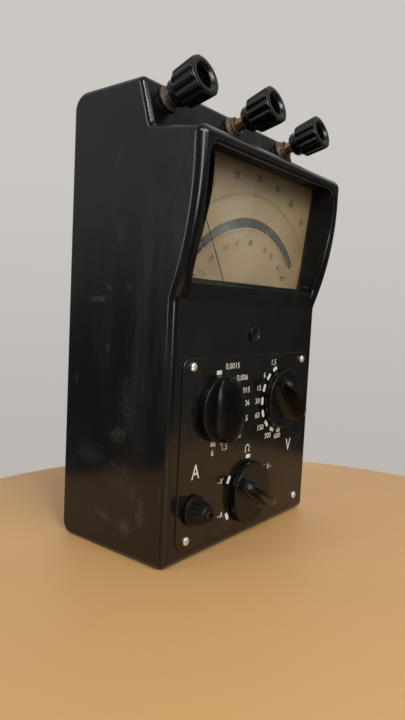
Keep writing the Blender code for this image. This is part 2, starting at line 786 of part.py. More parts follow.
def buildMovement():
    # everything here sits behind the dial, on the pivot axis
    turn = dialTurn
    deep = dialFace - dialThickness - seatGap
    pivot = onDial(0.0, -pivotDrop)

    def at(name, bm, key):
        return placed(name, bm, key, pivot, turn)

    floor = deep - magnetDepth
    jewel = pivotRadius + threadGap
    at("magnet_cup", lathe([(jewel, floor - yokeThickness), (magnetRadius, floor - yokeThickness),
                            (magnetRadius, deep), (poleRadius, deep), (poleRadius, floor), (jewel, floor)],
                           24, True), magnetSteel)
    middle = deep - magnetDepth / 2
    coreSolid = addRod(bmesh.new(), coreRadius, middle - coreDepth / 2, middle + coreDepth / 2, 28)
    core = at("iron_core", coreSolid, steel)
    reach = math.sqrt((poleRadius - boreGap) ** 2 - coreBar ** 2 / 4)
    bars = prism(roundRect(coreBar, reach * 2, gap, 1), middle - coreBar / 2, middle + coreBar / 2)
    combine(core, cutter("core_bars", bars, pivot, turn), "UNION")

    # front bridge: a strip across the magnet face with the pivot hole
    bridgeZ = deep + seatGap
    bridge = at("front_bridge", prism(roundRect(bridgeReach * 2, bridgeWidth, bridgeWidth / 3, 4),
                                      bridgeZ, bridgeZ + bridgeThickness), brass)
    hole = addRod(bmesh.new(), pivotRadius + threadGap, bridgeZ - over, bridgeZ + bridgeThickness + over, 10)
    combine(bridge, cutter("bridge_hole", hole, pivot, turn))

    # moving coil with its pivots: a frame round the core, wide enough to clear it
    coilTurn = spun(turn, restAngle)
    innerX = coreRadius + coilClear
    outerX = coilReach
    front = middle + coreDepth / 2 + coilClear
    back = middle - coreDepth / 2 - coilClear
    layOver = Matrix.Rotation(math.radians(90.0), 4, "X")
    outer = [(-outerX, back - coilWire), (outerX, back - coilWire), (outerX, front + coilWire),
             (-outerX, front + coilWire)]
    inner = [(-innerX, back), (innerX, back), (innerX, front), (-innerX, front)]
    coilSolid = prism(outer, -coilWidth / 2, coilWidth / 2, layOver)
    moving = placed("moving_coil", coilSolid, copper, pivot, coilTurn)
    combine(moving, cutter("coil_window", prism(inner, -coilWidth, coilWidth, layOver), pivot, coilTurn))
    needleZ = dialFace + needleLift
    axle = bmesh.new()
    addRod(axle, pivotRadius, front + coilWire / 2, needleZ + needleThickness, 10)
    addRod(axle, pivotRadius, floor - yokeThickness / 2, back - coilWire / 2, 10)
    combine(moving, cutter("coil_pivots", axle, pivot, coilTurn), "UNION")

    # needle with a hub and a counterweight tail
    needleTop = needleZ + needleThickness
    outline = [(-needleRoot / 2, 0.0), (-needleTail / 6, -needleTail * 0.6), (-needleTail / 5, -needleTail),
               (needleTail / 5, -needleTail), (needleTail / 6, -needleTail * 0.6), (needleRoot / 2, 0.0),
               (needleTip / 2, needleLength), (-needleTip / 2, needleLength)]
    needle = placed("needle", prism(outline, needleZ, needleTop), needleBlack, pivot, coilTurn)
    hub = addRod(bmesh.new(), needleHub, needleZ - needleThickness, needleZ + needleThickness / 2, 16)
    combine(needle, cutter("needle_hub", hub, pivot, coilTurn), "UNION")
    hole = addRod(bmesh.new(), pivotRadius + threadGap, needleZ - over, needleZ + over, 10)
    combine(needle, cutter("needle_hole", hole, pivot, coilTurn))

    # zero adjuster through the front wall
    spot = fromFront(0.0, adjusterZ())
    low = -caseWall - adjusterReach
    outline = [(0.0, low), (adjusterStem, low), (adjusterStem, seatGap), (adjusterRadius, seatGap),
               (adjusterRadius, adjusterRise / 2), (adjusterRadius * 0.8, adjusterRise), (0.0, adjusterRise)]
    adjuster = placed("zero_adjuster", lathe(outline, 20), bakelite, spot, frontTurn)
    slot = prism(roundRect(adjusterRadius * 3, adjusterSlot, adjusterSlot / 4, 1), adjusterRise / 3, over)
    combine(adjuster, cutter("adjuster_slot", slot, spot, spun(frontTurn, adjusterTurn)))
    pin = addRod(bmesh.new(), adjusterPin, low - adjusterPinReach, low + over / 2, 10,
                 Matrix.Translation((0.0, adjusterStem - 2 * adjusterPin, 0.0)))
    combine(adjuster, cutter("adjuster_pin", pin, spot, frontTurn), "UNION")


def buildPlate():
    spot = (0.0, frontY, plateMiddle)
    sheet = roundRect(plateWidth, plateHeight, plateRadius, 5)
    plate = placed("front_plate", prism(sheet, seatGap - plateRecess, plateFace), plateFinish,
                   spot, frontTurn)
    softened(plate, plateEdge, 1)
    screwSpots = [(x, z) for z in plateScrewZs for x in plateScrewXs]
    bores = [(x, z, bushRadius) for name, x, z, rest in switchSpots]
    bores.append((-ohmKnobX, ohmKnobHeight, ohmBushRadius))
    bores += [(x, z, plateScrewThread / 2) for x, z in screwSpots]
    holes = bmesh.new()
    for x, z, radius in bores:
        addRod(holes, radius + boreGap, -over, over, 16, moved(fromFront(x, z), frontTurn))
    combine(plate, cutter("plate_holes", holes))
    for index, (x, z) in enumerate(screwSpots):
        slottedScrew("plate_screw_%d" % (index + 1), plateScrewHead / 2, plateScrewRise,
                     plateScrewThread / 2, plateScrewLength, fromFront(x, z, plateFace + seatGap),
                     frontTurn, nickel, plateScrewRise, segments=14)


def hexNut(name, across, thickness, bore, location, turn, key):
    nut = placed(name, prism(hexagon(across), 0.0, thickness), key, location, turn)
    hole = addRod(bmesh.new(), bore, -over, thickness + over, 16)
    combine(nut, cutter(name + "_bore", hole, location, turn))
    return nut


def knobSolid(name, location, turn):
    # local +Z out of the plate, the fin runs along local Y
    skirt = [(0.0, skirtHeight), (skirtRadius - knobEdge, skirtHeight), (skirtRadius, skirtHeight - knobEdge),
             (skirtRadius, knobEdge / 2), (skirtRadius - knobEdge / 2, 0.0), (0.0, 0.0)]
    knob = placed(name, lathe(skirt, 36), knobFinish, location, turn)
    combine(knob, cutter(name + "_grip", gripSolid(), location, turn), "UNION")
    # hollow under the skirt and the blind hole for the shaft in one stepped cutter
    bore = shaftRadius + threadGap
    hollow = lathe([(0.0, -over), (knobHollowRadius, -over), (knobHollowRadius, knobHollowDepth),
                    (bore, knobHollowDepth), (bore, knobBoreTop), (0.0, knobBoreTop)], 24)
    combine(knob, cutter(name + "_hollow", hollow, location, turn))
    return knob


def gripSolid():
    # cross sections along the grip: wide foot, scooped sides, thin crest on an arc
    floor = skirtHeight - knobEdge
    stations = 12
    levelShares = (0.0, 0.1, 0.25, 0.45, 0.7, 1.0)
    bm = bmesh.new()
    rings = []
    for station in range(stations + 1):
        lean = math.cos(math.pi * station / stations)
        arch = math.sqrt(max(0.0, 1.0 - lean ** 2))
        top = gripEndHeight + (gripHeight - gripEndHeight) * arch
        foot = gripCrest + (gripFoot - gripCrest) * arch
        side = []
        for level in levelShares:
            reach = gripCrest + (foot - gripCrest) * (1.0 - level) ** gripScoop
            side.append((reach, floor + (top - floor) * level))
        points = side + [(-x, z) for x, z in reversed(side)]
        rings.append([bm.verts.new((x, -lean * gripReach, z)) for x, z in points])
    count = len(rings[0])
    for low, high in zip(rings, rings[1:]):
        for step in range(count):
            after = (step + 1) % count
            bm.faces.new((low[step], low[after], high[after], high[step]))
    bm.faces.new(rings[0])
    bm.faces.new(list(reversed(rings[-1])))
    return bm


def buildSwitches():
    flangeTop = -caseWall - seatGap
    flangeLow = flangeTop - bushFlangeThickness
    bore = shaftRadius + boreGap
    neckTop = plateFace + seatGap + switchNutThickness
    deckTop = flangeLow - deckStandoff
    deckLow = deckTop - deckThickness
    rotorTop = deckLow - gap
    rotorLow = rotorTop - rotorThickness
    for name, x, z, rest in switchSpots:
        spot = fromFront(x, z)
        bush = [(bore, flangeLow), (bushFlange, flangeLow), (bushFlange, flangeTop), (bushRadius, flangeTop),
                (bushRadius, neckTop), (bore, neckTop)]
        placed(name + "_bush", lathe(bush, 18, True), brass, spot, frontTurn)
        hexNut(name + "_nut", switchNutAcross, switchNutThickness, bushRadius + threadGap,
               fromFront(x, z, plateFace + seatGap), frontTurn, nickel)
        wafer = [(bore, deckLow), (deckRadius, deckLow), (deckRadius, deckTop), (bore, deckTop)]
        deck = placed(name + "_deck", lathe(wafer, 20, True), phenolic, spot, frontTurn)
        posts = bmesh.new()
        for side in (-1, 1):
            at = Matrix.Translation((side * (bushFlange - postRadius), 0.0, 0.0))
            addRod(posts, postRadius, deckLow + deckThickness / 2, flangeLow - seatGap, 10, at)
        combine(deck, cutter(name + "_posts", posts, spot, frontTurn), "UNION")
        knobBase = plateFace + knobLift
        shaftTop = knobBase + knobBoreTop - threadGap
        turned = spun(frontTurn, rest)
        shaft = [(0.0, rotorLow - gap), (shaftRadius, rotorLow - gap), (shaftRadius, rotorLow),
                 (rotorRadius, rotorLow), (rotorRadius, rotorTop), (shaftRadius, rotorTop),
                 (shaftRadius, shaftTop), (0.0, shaftTop)]
        placed(name + "_shaft", lathe(shaft, 18), brass, spot, turned)
        knobSolid(name + "_knob", fromFront(x, z, knobBase), turned)


def buildOhmZero():
    spot = fromFront(-ohmKnobX, ohmKnobHeight)
    bore = ohmShaftRadius + boreGap
    potTop = -caseWall - seatGap
    potLow = potTop - potDepth
    neckTop = plateFace + seatGap + ohmNutThickness
    pot = [(bore, potLow), (potRadius, potLow), (potRadius, potTop), (ohmBushRadius, potTop),
           (ohmBushRadius, neckTop), (bore, neckTop)]
    placed("ohm_pot", lathe(pot, 18, True), steel, spot, frontTurn)
    hexNut("ohm_nut", ohmNutAcross, ohmNutThickness, ohmBushRadius + threadGap,
           fromFront(-ohmKnobX, ohmKnobHeight, plateFace + seatGap), frontTurn, nickel)
    base = plateFace + knobLift
    top = ohmHollowDepth + ohmBodyHeight / 3
    rod = addRod(bmesh.new(), ohmShaftRadius, potLow + potDepth / 3, base + top - threadGap, 16)
    placed("ohm_shaft", rod, brass, spot, frontTurn)
    shaftBore = ohmShaftRadius + threadGap
    edge = ohmSkirtHeight / 3
    face = ohmBodyHeight + edge
    eye = ohmRingRadius / 2
    rows = [(0.0, top), (shaftBore, top), (shaftBore, ohmHollowDepth), (ohmHollowRadius, ohmHollowDepth),
            (ohmHollowRadius, 0.0), (ohmSkirtRadius, 0.0), (ohmSkirtRadius, ohmSkirtHeight - edge),
            (ohmSkirtRadius - edge, ohmSkirtHeight), (ohmBodyRadius, ohmSkirtHeight + edge),
            (ohmTipRadius, ohmBodyHeight), (ohmTipRadius - edge * 2, face), (ohmRingRadius, face),
            (ohmRingRadius, ohmKnobLength), (eye, ohmKnobLength), (eye, face), (0.0, face)]
    ripple = flutes(ohmFlutes, ohmFluteDepth, (8, 9))
    placed("ohm_zero_knob", lathe(rows, ohmFlutes * 3, False, ripple), knobFinish,
           fromFront(-ohmKnobX, ohmKnobHeight, base), frontTurn, 25.0)


def buildTerminals():
    inner = -caseWall - seatGap
    nutLow = inner - terminalNutThickness
    washerBase = seatGap + collarHeight + seatGap
    capBase = washerBase + washerThickness + seatGap
    socketFloor = capLength - capSocketDepth
    studTop = capBase + socketFloor + seatGap
    for index, x in enumerate(terminalXs):
        spot = onTerminal(x)
        lift = capTurnsOut[index] * capPitch
        mark = "_%d" % (index + 1)
        stud = studRadius
        placed("terminal_stud" + mark,
               lathe([(0.0, nutLow - studTail), (stud, nutLow - studTail), (stud, studTop),
                      (studJackRadius, studTop), (studJackRadius, studTop - studJackDepth),
                      (0.0, studTop - studJackDepth)], 16), brass, spot, terminalTurn)
        hole = stud + threadGap
        waist = collarRadius - collarGroove
        collar = [(hole, seatGap), (collarFlangeRadius, seatGap), (collarFlangeRadius, collarFlangeThickness),
                  (collarRadius, collarFlangeThickness + gap), (collarRadius, collarHeight * 0.6),
                  (waist, collarHeight * 0.65), (waist, collarHeight * 0.78),
                  (collarRadius, collarHeight * 0.83), (collarRadius, seatGap + collarHeight),
                  (hole, seatGap + collarHeight)]
        placed("terminal_collar" + mark, lathe(collar, 20, True), nickel, spot, terminalTurn)
        washer = [(hole, 0.0), (washerRadius, 0.0), (washerRadius, washerThickness), (hole, washerThickness)]
        placed("terminal_washer" + mark, lathe(washer, 16, True), nickel,
               onTerminal(x, washerBase + lift), terminalTurn)
        hexNut("terminal_nut" + mark, terminalNutAcross, terminalNutThickness, hole, onTerminal(x, nutLow),
               terminalTurn, nickel)
        flare = capNeckLength
        rows = [(hole, 0.0), (capNeckRadius - gap, 0.0), (capNeckRadius, gap), (capNeckRadius, flare * 0.7),
                (capRadius - capRim, flare), (capRadius, flare + capRim * 2),
                (capMouthRadius, capLength - capRim * 2), (capMouthRadius - capRim, capLength),
                (capSocketRadius + capRim * 3, capLength), (capSocketRadius + capRim, capLength - capRim),
                (capSocketRadius, capLength - capRim * 2), (capSocketRadius, socketFloor),
                (hole, socketFloor)]
        ripple = flutes(capFlutes, capFluteDepth, (5, 6))
        placed("terminal_cap" + mark, lathe(rows, capFlutes * 3, True, ripple), knobFinish,
               onTerminal(x, capBase + lift), terminalTurn, 25.0)


def main():
    clearScene()
    buildCase()
    buildCover()
    buildWindow()
    buildMovement()
    buildPlate()
    buildSwitches()
    buildOhmZero()
    buildTerminals()


main()
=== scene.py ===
# Looks of the analog multimeter: glossy black case, printed dial behind glass,
# white-filled figures, scooped knobs and ribbed screw terminals on a pale floor.
import math

import bmesh
import bpy
from mathutils import Matrix, Vector


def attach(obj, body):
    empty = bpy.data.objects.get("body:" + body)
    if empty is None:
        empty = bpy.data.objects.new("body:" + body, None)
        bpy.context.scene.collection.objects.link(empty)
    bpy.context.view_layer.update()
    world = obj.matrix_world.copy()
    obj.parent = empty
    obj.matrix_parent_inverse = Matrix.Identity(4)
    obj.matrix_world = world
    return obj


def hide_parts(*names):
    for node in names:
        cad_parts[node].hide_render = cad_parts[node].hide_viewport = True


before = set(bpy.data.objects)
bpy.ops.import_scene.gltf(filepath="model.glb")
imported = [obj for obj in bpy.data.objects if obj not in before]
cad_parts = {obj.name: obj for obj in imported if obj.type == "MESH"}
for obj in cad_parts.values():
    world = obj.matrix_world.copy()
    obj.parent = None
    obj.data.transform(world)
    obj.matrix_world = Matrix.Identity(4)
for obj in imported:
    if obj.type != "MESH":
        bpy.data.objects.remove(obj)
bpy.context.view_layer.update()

# Where things sit. Metres, X right, the front faces -Y, Z up.
stand = {
    "caseWidth": 0.1186, "caseDepth": 0.0662, "caseHeight": 0.205, "wall": 0.0035,
    "headReach": 0.0113, "bend": 0.114, "flareTop": 0.172, "headTop": 0.1813, "ledgeRise": 0.0027,
    "blockDepth": 0.0503, "faceLean": math.radians(17.0), "dialFace": -0.0053, "glassBack": -0.00195,
    "dialTilt": math.radians(6.6), "seatInset": 0.0046, "sill": 0.1235, "terminalRise": 0.01456,
    "pivotDrop": 0.0235, "coverFace": 0.0325,
}
# what the front wall carries: across, up and the radius of its hole
controls = {"current": (-0.0263, 0.0663, 0.00485), "voltage": (0.0263, 0.0663, 0.00485),
            "function": (0.0, 0.0226, 0.00485), "ohm": (-0.0415, 0.023, 0.00365)}
seatGap = 0.00015     # between pieces that touch
fitGap = 0.0003       # round pieces that sit in an opening
over = 0.002          # how far a cutter runs past the wall it cuts
backY = stand["caseDepth"] / 2
frontY = -backY
frontTurn = Matrix.Rotation(math.radians(90.0), 3, "X")
backTurn = Matrix.Rotation(math.radians(-90.0), 3, "X")
dialTurn = Matrix.Rotation(math.radians(90.0) + stand["dialTilt"], 3, "X")
terminalTurn = Matrix.Rotation(math.radians(90.0) - stand["faceLean"], 3, "X")
toX = Matrix(((0, 0, 1, 0), (1, 0, 0, 0), (0, 1, 0, 0), (0, 0, 0, 1)))   # local Z to world X


def fromFront(x, z, out=0.0):
    return Vector((x, frontY - out, z))


def onDial(x, up, out=0.0):
    # up runs along the glass from the sill, out points at the viewer
    tilt = stand["dialTilt"]
    return Vector((x, frontY + stand["seatInset"] - up * math.sin(tilt) - out * math.cos(tilt),
                   stand["sill"] + up * math.cos(tilt) - out * math.sin(tilt)))


def onTerminal(x, out=0.0):
    lean = stand["faceLean"]
    rise = stand["terminalRise"]
    return Vector((x, backY - stand["blockDepth"] + rise * math.sin(lean) - out * math.cos(lean),
                   stand["headTop"] + stand["ledgeRise"] + rise * math.cos(lean) + out * math.sin(lean)))


def moved(location, turn):
    return Matrix.Translation(location) @ turn.to_4x4()


def spun(turn, angle):
    return turn @ Matrix.Rotation(angle, 3, "Z")


# Mesh tools
def addLathe(bm, rows, segments, matrix, closed=False, ripple=None):
    # rows are (radius, height); ripple gives how far a point is drawn in
    rings, fresh = [], []
    for radius, height in rows:
        if radius == 0:
            ring = [bm.verts.new((0.0, 0.0, height))]
        else:
            ring = []
            for step in range(segments):
                angle = math.tau * step / segments
                reach = radius - (ripple(angle, radius, height) if ripple else 0.0)
                ring.append(bm.verts.new((reach * math.cos(angle), reach * math.sin(angle), height)))
        rings.append(ring)
        fresh += ring
    pairs = list(zip(rings, rings[1:]))
    if closed:
        pairs.append((rings[-1], rings[0]))
    for low, high in pairs:
        for step in range(segments):
            after = (step + 1) % segments
            if len(low) == 1:
                bm.faces.new((low[0], high[after], high[step]))
            elif len(high) == 1:
                bm.faces.new((low[step], low[after], high[0]))
            else:
                bm.faces.new((low[step], low[after], high[after], high[step]))
    if matrix is not None:
        bmesh.ops.transform(bm, matrix=matrix, verts=fresh)
    return bm


def lathe(rows, segments, closed=False, ripple=None):
    return addLathe(bmesh.new(), rows, segments, None, closed, ripple)


def addRod(bm, radius, low, high, segments, matrix=None):
    return addLathe(bm, [(0.0, low), (radius, low), (radius, high), (0.0, high)], segments, matrix)


def addSections(bm, rings, matrix=None):
    # rings are lists of points, all as long; both ends are closed
    made = [[bm.verts.new(point) for point in ring] for ring in rings]
    count = len(made[0])
    for low, high in zip(made, made[1:]):
        for step in range(count):
            after = (step + 1) % count
            bm.faces.new((low[step], low[after], high[after], high[step]))
    bm.faces.new(list(reversed(made[0])))
    bm.faces.new(made[-1])
    if matrix is not None:
        bmesh.ops.transform(bm, matrix=matrix, verts=[point for ring in made for point in ring])
    return bm


def prism(outline, low, high, matrix=None):
    return addPrism(bmesh.new(), outline, low, high, matrix)


def addPrism(bm, outline, low, high, matrix):
    return addSections(bm, [[(x, y, low) for x, y in outline], [(x, y, high) for x, y in outline]], matrix)


def roundRect(width, height, radius, steps=8):
    points = []
    for quarter in range(4):
        signX = 1 if quarter in (0, 3) else -1
        signY = 1 if quarter in (0, 1) else -1
        midX, midY = signX * (width / 2 - radius), signY * (height / 2 - radius)
        for step in range(steps + 1):
            angle = math.radians(90.0) * (quarter + step / steps)
            points.append((midX + radius * math.cos(angle), midY + radius * math.sin(angle)))
    return points


def rounded(corners, steps=5):
    # open profile; each corner is (radius, height) or (radius, height, fillet)
    points = []
    for index, corner in enumerate(corners):
        here = Vector(corner[:2])
        fillet = corner[2] if len(corner) > 2 else 0.0
        if fillet == 0 or index in (0, len(corners) - 1):
            points.append(tuple(here))
            continue
        into = (here - Vector(corners[index - 1][:2])).normalized()
        out = (Vector(corners[index + 1][:2]) - here).normalized()
        angle = math.acos(max(-1.0, min(1.0, into.dot(out))))
        reach = fillet * math.tan(angle / 2)
        start, end = here - into * reach, here + out * reach
        for step in range(steps + 1):
            t = step / steps
            points.append(tuple(start * (1 - t) ** 2 + here * (2 * t * (1 - t)) + end * t ** 2))
    return points


def toObject(name, bm, location=(0.0, 0.0, 0.0), turn=None, sharp=35.0):
    bmesh.ops.remove_doubles(bm, verts=bm.verts, dist=1e-7)
    bmesh.ops.recalc_face_normals(bm, faces=bm.faces)
    mesh = bpy.data.meshes.new(name)
    bm.to_mesh(mesh)
    bm.free()
    mesh.shade_smooth()
    mesh.set_sharp_from_angle(angle=math.radians(sharp))
    item = bpy.data.objects.new(name, mesh)
    bpy.context.scene.collection.objects.link(item)
    item.matrix_world = moved(location, turn) if turn is not None else Matrix.Translation(location)
    return item


def settle(item):
    # turns the modifiers into plain mesh and shades it again
    view = bpy.context.evaluated_depsgraph_get()
    mesh = bpy.data.meshes.new_from_object(item.evaluated_get(view))
    item.modifiers.clear()
    item.data = mesh
    mesh.name = item.name
    mesh.shade_smooth()
    mesh.set_sharp_from_angle(angle=math.radians(35.0))


def carve(item, *tools):
    # a tool is (bmesh, location, turn, operation); the last three may be left off
    usual = ((0.0, 0.0, 0.0), None, "DIFFERENCE")
    guides = []
    for bm, location, turn, operation in (tool + usual[len(tool) - 1:] for tool in tools):
        guide = toObject("guide", bm, location, turn)
        step = item.modifiers.new("cut", "BOOLEAN")
        step.operation = operation
        step.solver = "EXACT"
        step.object = guide
        guides.append(guide)
    bpy.context.view_layer.update()
    settle(item)
    for guide in guides:
        bpy.data.objects.remove(guide)


def rimmed(item, width, segments, angle=32.0):
    # small even rounding of every crisp edge
    step = item.modifiers.new("rim", "BEVEL")
    step.width = width
    step.segments = segments
    step.limit_method = "ANGLE"
    step.angle_limit = math.radians(angle)
    step.use_clamp_overlap = True
    step.miter_outer = "MITER_ARC"
    settle(item)


def evened(item):
    # large faces keep their own direction beside small rounded ones
    step = item.modifiers.new("even", "WEIGHTED_NORMAL")
    step.keep_sharp = True
    step.weight = 80


def dress(item, material, body, *nodes):
    item.data.materials.clear()
    item.data.materials.append(material)
    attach(item, body)
    if nodes:
        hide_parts(*nodes)


# Shader groups: each puts out one mask or value that changes over the surface
def newGroup(name, output="Mask", **inputs):
    group = bpy.data.node_groups.new(name, "ShaderNodeTree")
    for label, value in {"Vector": (0.0, 0.0, 0.0), **inputs}.items():
        kind = "NodeSocketVector" if isinstance(value, tuple) else "NodeSocketFloat"
        socket = group.interface.new_socket(name=label, in_out="INPUT", socket_type=kind)
        socket.default_value = value
    group.interface.new_socket(name=output, in_out="OUTPUT", socket_type="NodeSocketFloat")
    given = group.nodes.new("NodeGroupInput").outputs
    return group, given, group.nodes.new("NodeGroupOutput").inputs[output]


def addNode(tree, kind, links=None, **values):
    # values set the node's own fields; links fills its sockets by name or number
    node = tree.nodes.new(kind)
    for key, value in values.items():
        setattr(node, key, value)
    for key, value in (links or {}).items():
        if isinstance(value, bpy.types.NodeSocket):
            tree.links.new(value, node.inputs[key])
        else:
            node.inputs[key].default_value = value
    return node


def maths(tree, operation, a, b, clamp=False):
    return addNode(tree, "ShaderNodeMath", {0: a, 1: b}, operation=operation, use_clamp=clamp).outputs[0]


def times(tree, a, b, clamp=False):
    return maths(tree, "MULTIPLY", a, b, clamp)


def ramp(tree, value, low, high, start=0.0, end=1.0):
    # a soft step from start to end as the value goes from low to high
    node = addNode(tree, "ShaderNodeMapRange", {"Value": value, "From Min": low, "From Max": high,
                                                "To Min": start, "To Max": end},
                   interpolation_type="SMOOTHSTEP")
    return node.outputs[0]


def noise(tree, vector, scale, detail=4.0, roughness=0.55):
    return addNode(tree, "ShaderNodeTexNoise", {"Vector": vector, "Scale": scale, "Detail": detail,
                                                "Roughness": roughness}).outputs["Fac"]


def blend(tree, factor, a, b):
    # a and b are sockets or red, green and blue
    node = addNode(tree, "ShaderNodeMix", {"Factor": factor}, data_type="RGBA")
    for socket, value in ((node.inputs[6], a), (node.inputs[7], b)):
        if isinstance(value, bpy.types.NodeSocket):
            tree.links.new(value, socket)
        else:
            socket.default_value = (*value, 1.0)
    return node.outputs[2]


def vectorMaths(tree, operation, *values):
    return addNode(tree, "ShaderNodeVectorMath", dict(enumerate(values)), operation=operation).outputs


def makeEdgeWear():
    group, given, result = newGroup("edgeWear", Radius=0.0006, Amount=0.6, Breakup=300.0)
    bevel = addNode(group, "ShaderNodeBevel", {"Radius": given["Radius"]}, samples=4)
    flat = addNode(group, "ShaderNodeNewGeometry")
    match = vectorMaths(group, "DOT_PRODUCT", bevel.outputs[0], flat.outputs["Normal"])["Value"]
    edge = ramp(group, match, 0.995, 0.86)
    broken = ramp(group, noise(group, given["Vector"], given["Breakup"]), 0.4, 0.62)
    mask = times(group, edge, broken)
    group.links.new(times(group, mask, given["Amount"], True), result)
    return group


def makeDust():
    # settles on faces that look up, in patches, with a few loose specks
    group, given, result = newGroup("dust", Amount=0.3, Specks=0.3)
    facing = addNode(group, "ShaderNodeNewGeometry")
    upward = addNode(group, "ShaderNodeSeparateXYZ", {0: facing.outputs["Normal"]}).outputs["Z"]
    lying = ramp(group, upward, 0.15, 0.95)
    patches = ramp(group, noise(group, given["Vector"], 90.0, 6.0, 0.7), 0.35, 0.75)
    film = times(group, times(group, lying, patches), given["Amount"])
    cells = addNode(group, "ShaderNodeTexVoronoi", {"Vector": given["Vector"], "Scale": 420.0})
    dots = ramp(group, cells.outputs["Distance"], 0.12, 0.05)
    few = ramp(group, noise(group, given["Vector"], 60.0, 3.0), 0.58, 0.66)
    specks = times(group, times(group, dots, few), given["Specks"])
    group.links.new(maths(group, "MAXIMUM", film, specks, True), result)
    return group


def makeScratches():
    # fine straight marks at changing slants
    group, given, result = newGroup("scratches", Scale=60.0, Amount=0.5)
    total = None
    for index, slants in enumerate(((0.2, 0.5, 0.9), (1.1, 0.3, 2.2), (0.7, 1.4, 0.4))):
        drawn = addNode(group, "ShaderNodeMapping", {"Vector": given["Vector"], "Rotation": slants,
                                                     "Location": (index * 1.7, index * 0.9, 0.0),
                                                     "Scale": (1.0, 1.0, 0.025)})
        streak = noise(group, drawn.outputs[0], times(group, given["Scale"], 14.0), 2.0)
        where = ramp(group, noise(group, given["Vector"], given["Scale"], 3.0), 0.5, 0.68)
        line = times(group, ramp(group, streak, 0.72, 0.78), where)
        total = line if total is None else maths(group, "MAXIMUM", total, line)
    group.links.new(times(group, total, given["Amount"], True), result)
    return group


def makeSmudge():
    # uneven polish: handled areas are duller than the rest
    group, given, result = newGroup("smudge", "Value", Scale=25.0, Low=0.15, High=0.35)
    wide = noise(group, given["Vector"], given["Scale"], 5.0, 0.6)
    fine = noise(group, given["Vector"], times(group, given["Scale"], 17.0), 4.0)
    both = maths(group, "ADD", times(group, wide, 0.75), times(group, fine, 0.25))
    group.links.new(ramp(group, both, 0.36, 0.64, given["Low"], given["High"]), result)
    return group


def makePatch():
    # one soft-edged worn spot: an ellipsoid in object space, broken up by fine noise
    group, given, result = newGroup("patch", Center=(0.0, 0.0, 0.0), Size=(0.01, 0.01, 0.01), Slant=0.0,
                                    Breakup=400.0, Amount=0.5)
    away = vectorMaths(group, "SUBTRACT", given["Vector"], given["Center"])[0]
    turned = addNode(group, "ShaderNodeVectorRotate", {"Vector": away, "Angle": given["Slant"]},
                     rotation_type="X_AXIS").outputs[0]
    scaled = vectorMaths(group, "DIVIDE", turned, given["Size"])[0]
    reach = vectorMaths(group, "LENGTH", scaled)["Value"]
    ragged = noise(group, given["Vector"], given["Breakup"], 6.0, 0.75)
    reach = maths(group, "ADD", reach, times(group, maths(group, "SUBTRACT", ragged, 0.5), 2.6))
    grit = noise(group, given["Vector"], times(group, given["Breakup"], 3.2), 5.0, 0.8)
    speckled = times(group, ramp(group, reach, 1.15, 0.3), ramp(group, grit, 0.34, 0.66))
    group.links.new(times(group, speckled, given["Amount"], True), result)
    return group


def makeStreaks():
    # long faint wipe marks that run up the surface
    group, given, result = newGroup("streaks", Scale=60.0, Amount=0.5)
    drawn = addNode(group, "ShaderNodeMapping", {"Vector": given["Vector"], "Scale": (1.0, 1.0, 0.09)})
    bands = ramp(group, noise(group, drawn.outputs[0], given["Scale"], 4.0, 0.6), 0.45, 0.72)
    where = ramp(group, noise(group, given["Vector"], 14.0, 3.0), 0.4, 0.65)
    group.links.new(times(group, times(group, bands, where), given["Amount"], True), result)
    return group


groups = {"edgeWear": makeEdgeWear(), "dust": makeDust(), "scratches": makeScratches(),
          "smudge": makeSmudge(), "patch": makePatch(), "streaks": makeStreaks()}
print("shader groups ready")


def place(tree, key, spot, **values):
    # one group in a material, at the object's own coordinates
    node = tree.nodes.new("ShaderNodeGroup")
    node.node_tree = groups[key]
    tree.links.new(spot, node.inputs["Vector"])
    for name, value in values.items():
        node.inputs[name].default_value = value
    return node.outputs[0]


def newMaterial(name, **fixed):
    made = bpy.data.materials.new(name)
    made.use_nodes = True
    tree = made.node_tree
    shader = tree.nodes["Principled BSDF"]
    for key, value in fixed.items():
        shader.inputs[key.replace("_", " ")].default_value = value
    spot = addNode(tree, "ShaderNodeTexCoord").outputs["Object"]
    return made, tree, shader, spot


def addBump(tree, shader, height, distance, strength):
    bump = addNode(tree, "ShaderNodeBump", {"Height": height, "Distance": distance, "Strength": strength})
    tree.links.new(bump.outputs[0], shader.inputs["Normal"])


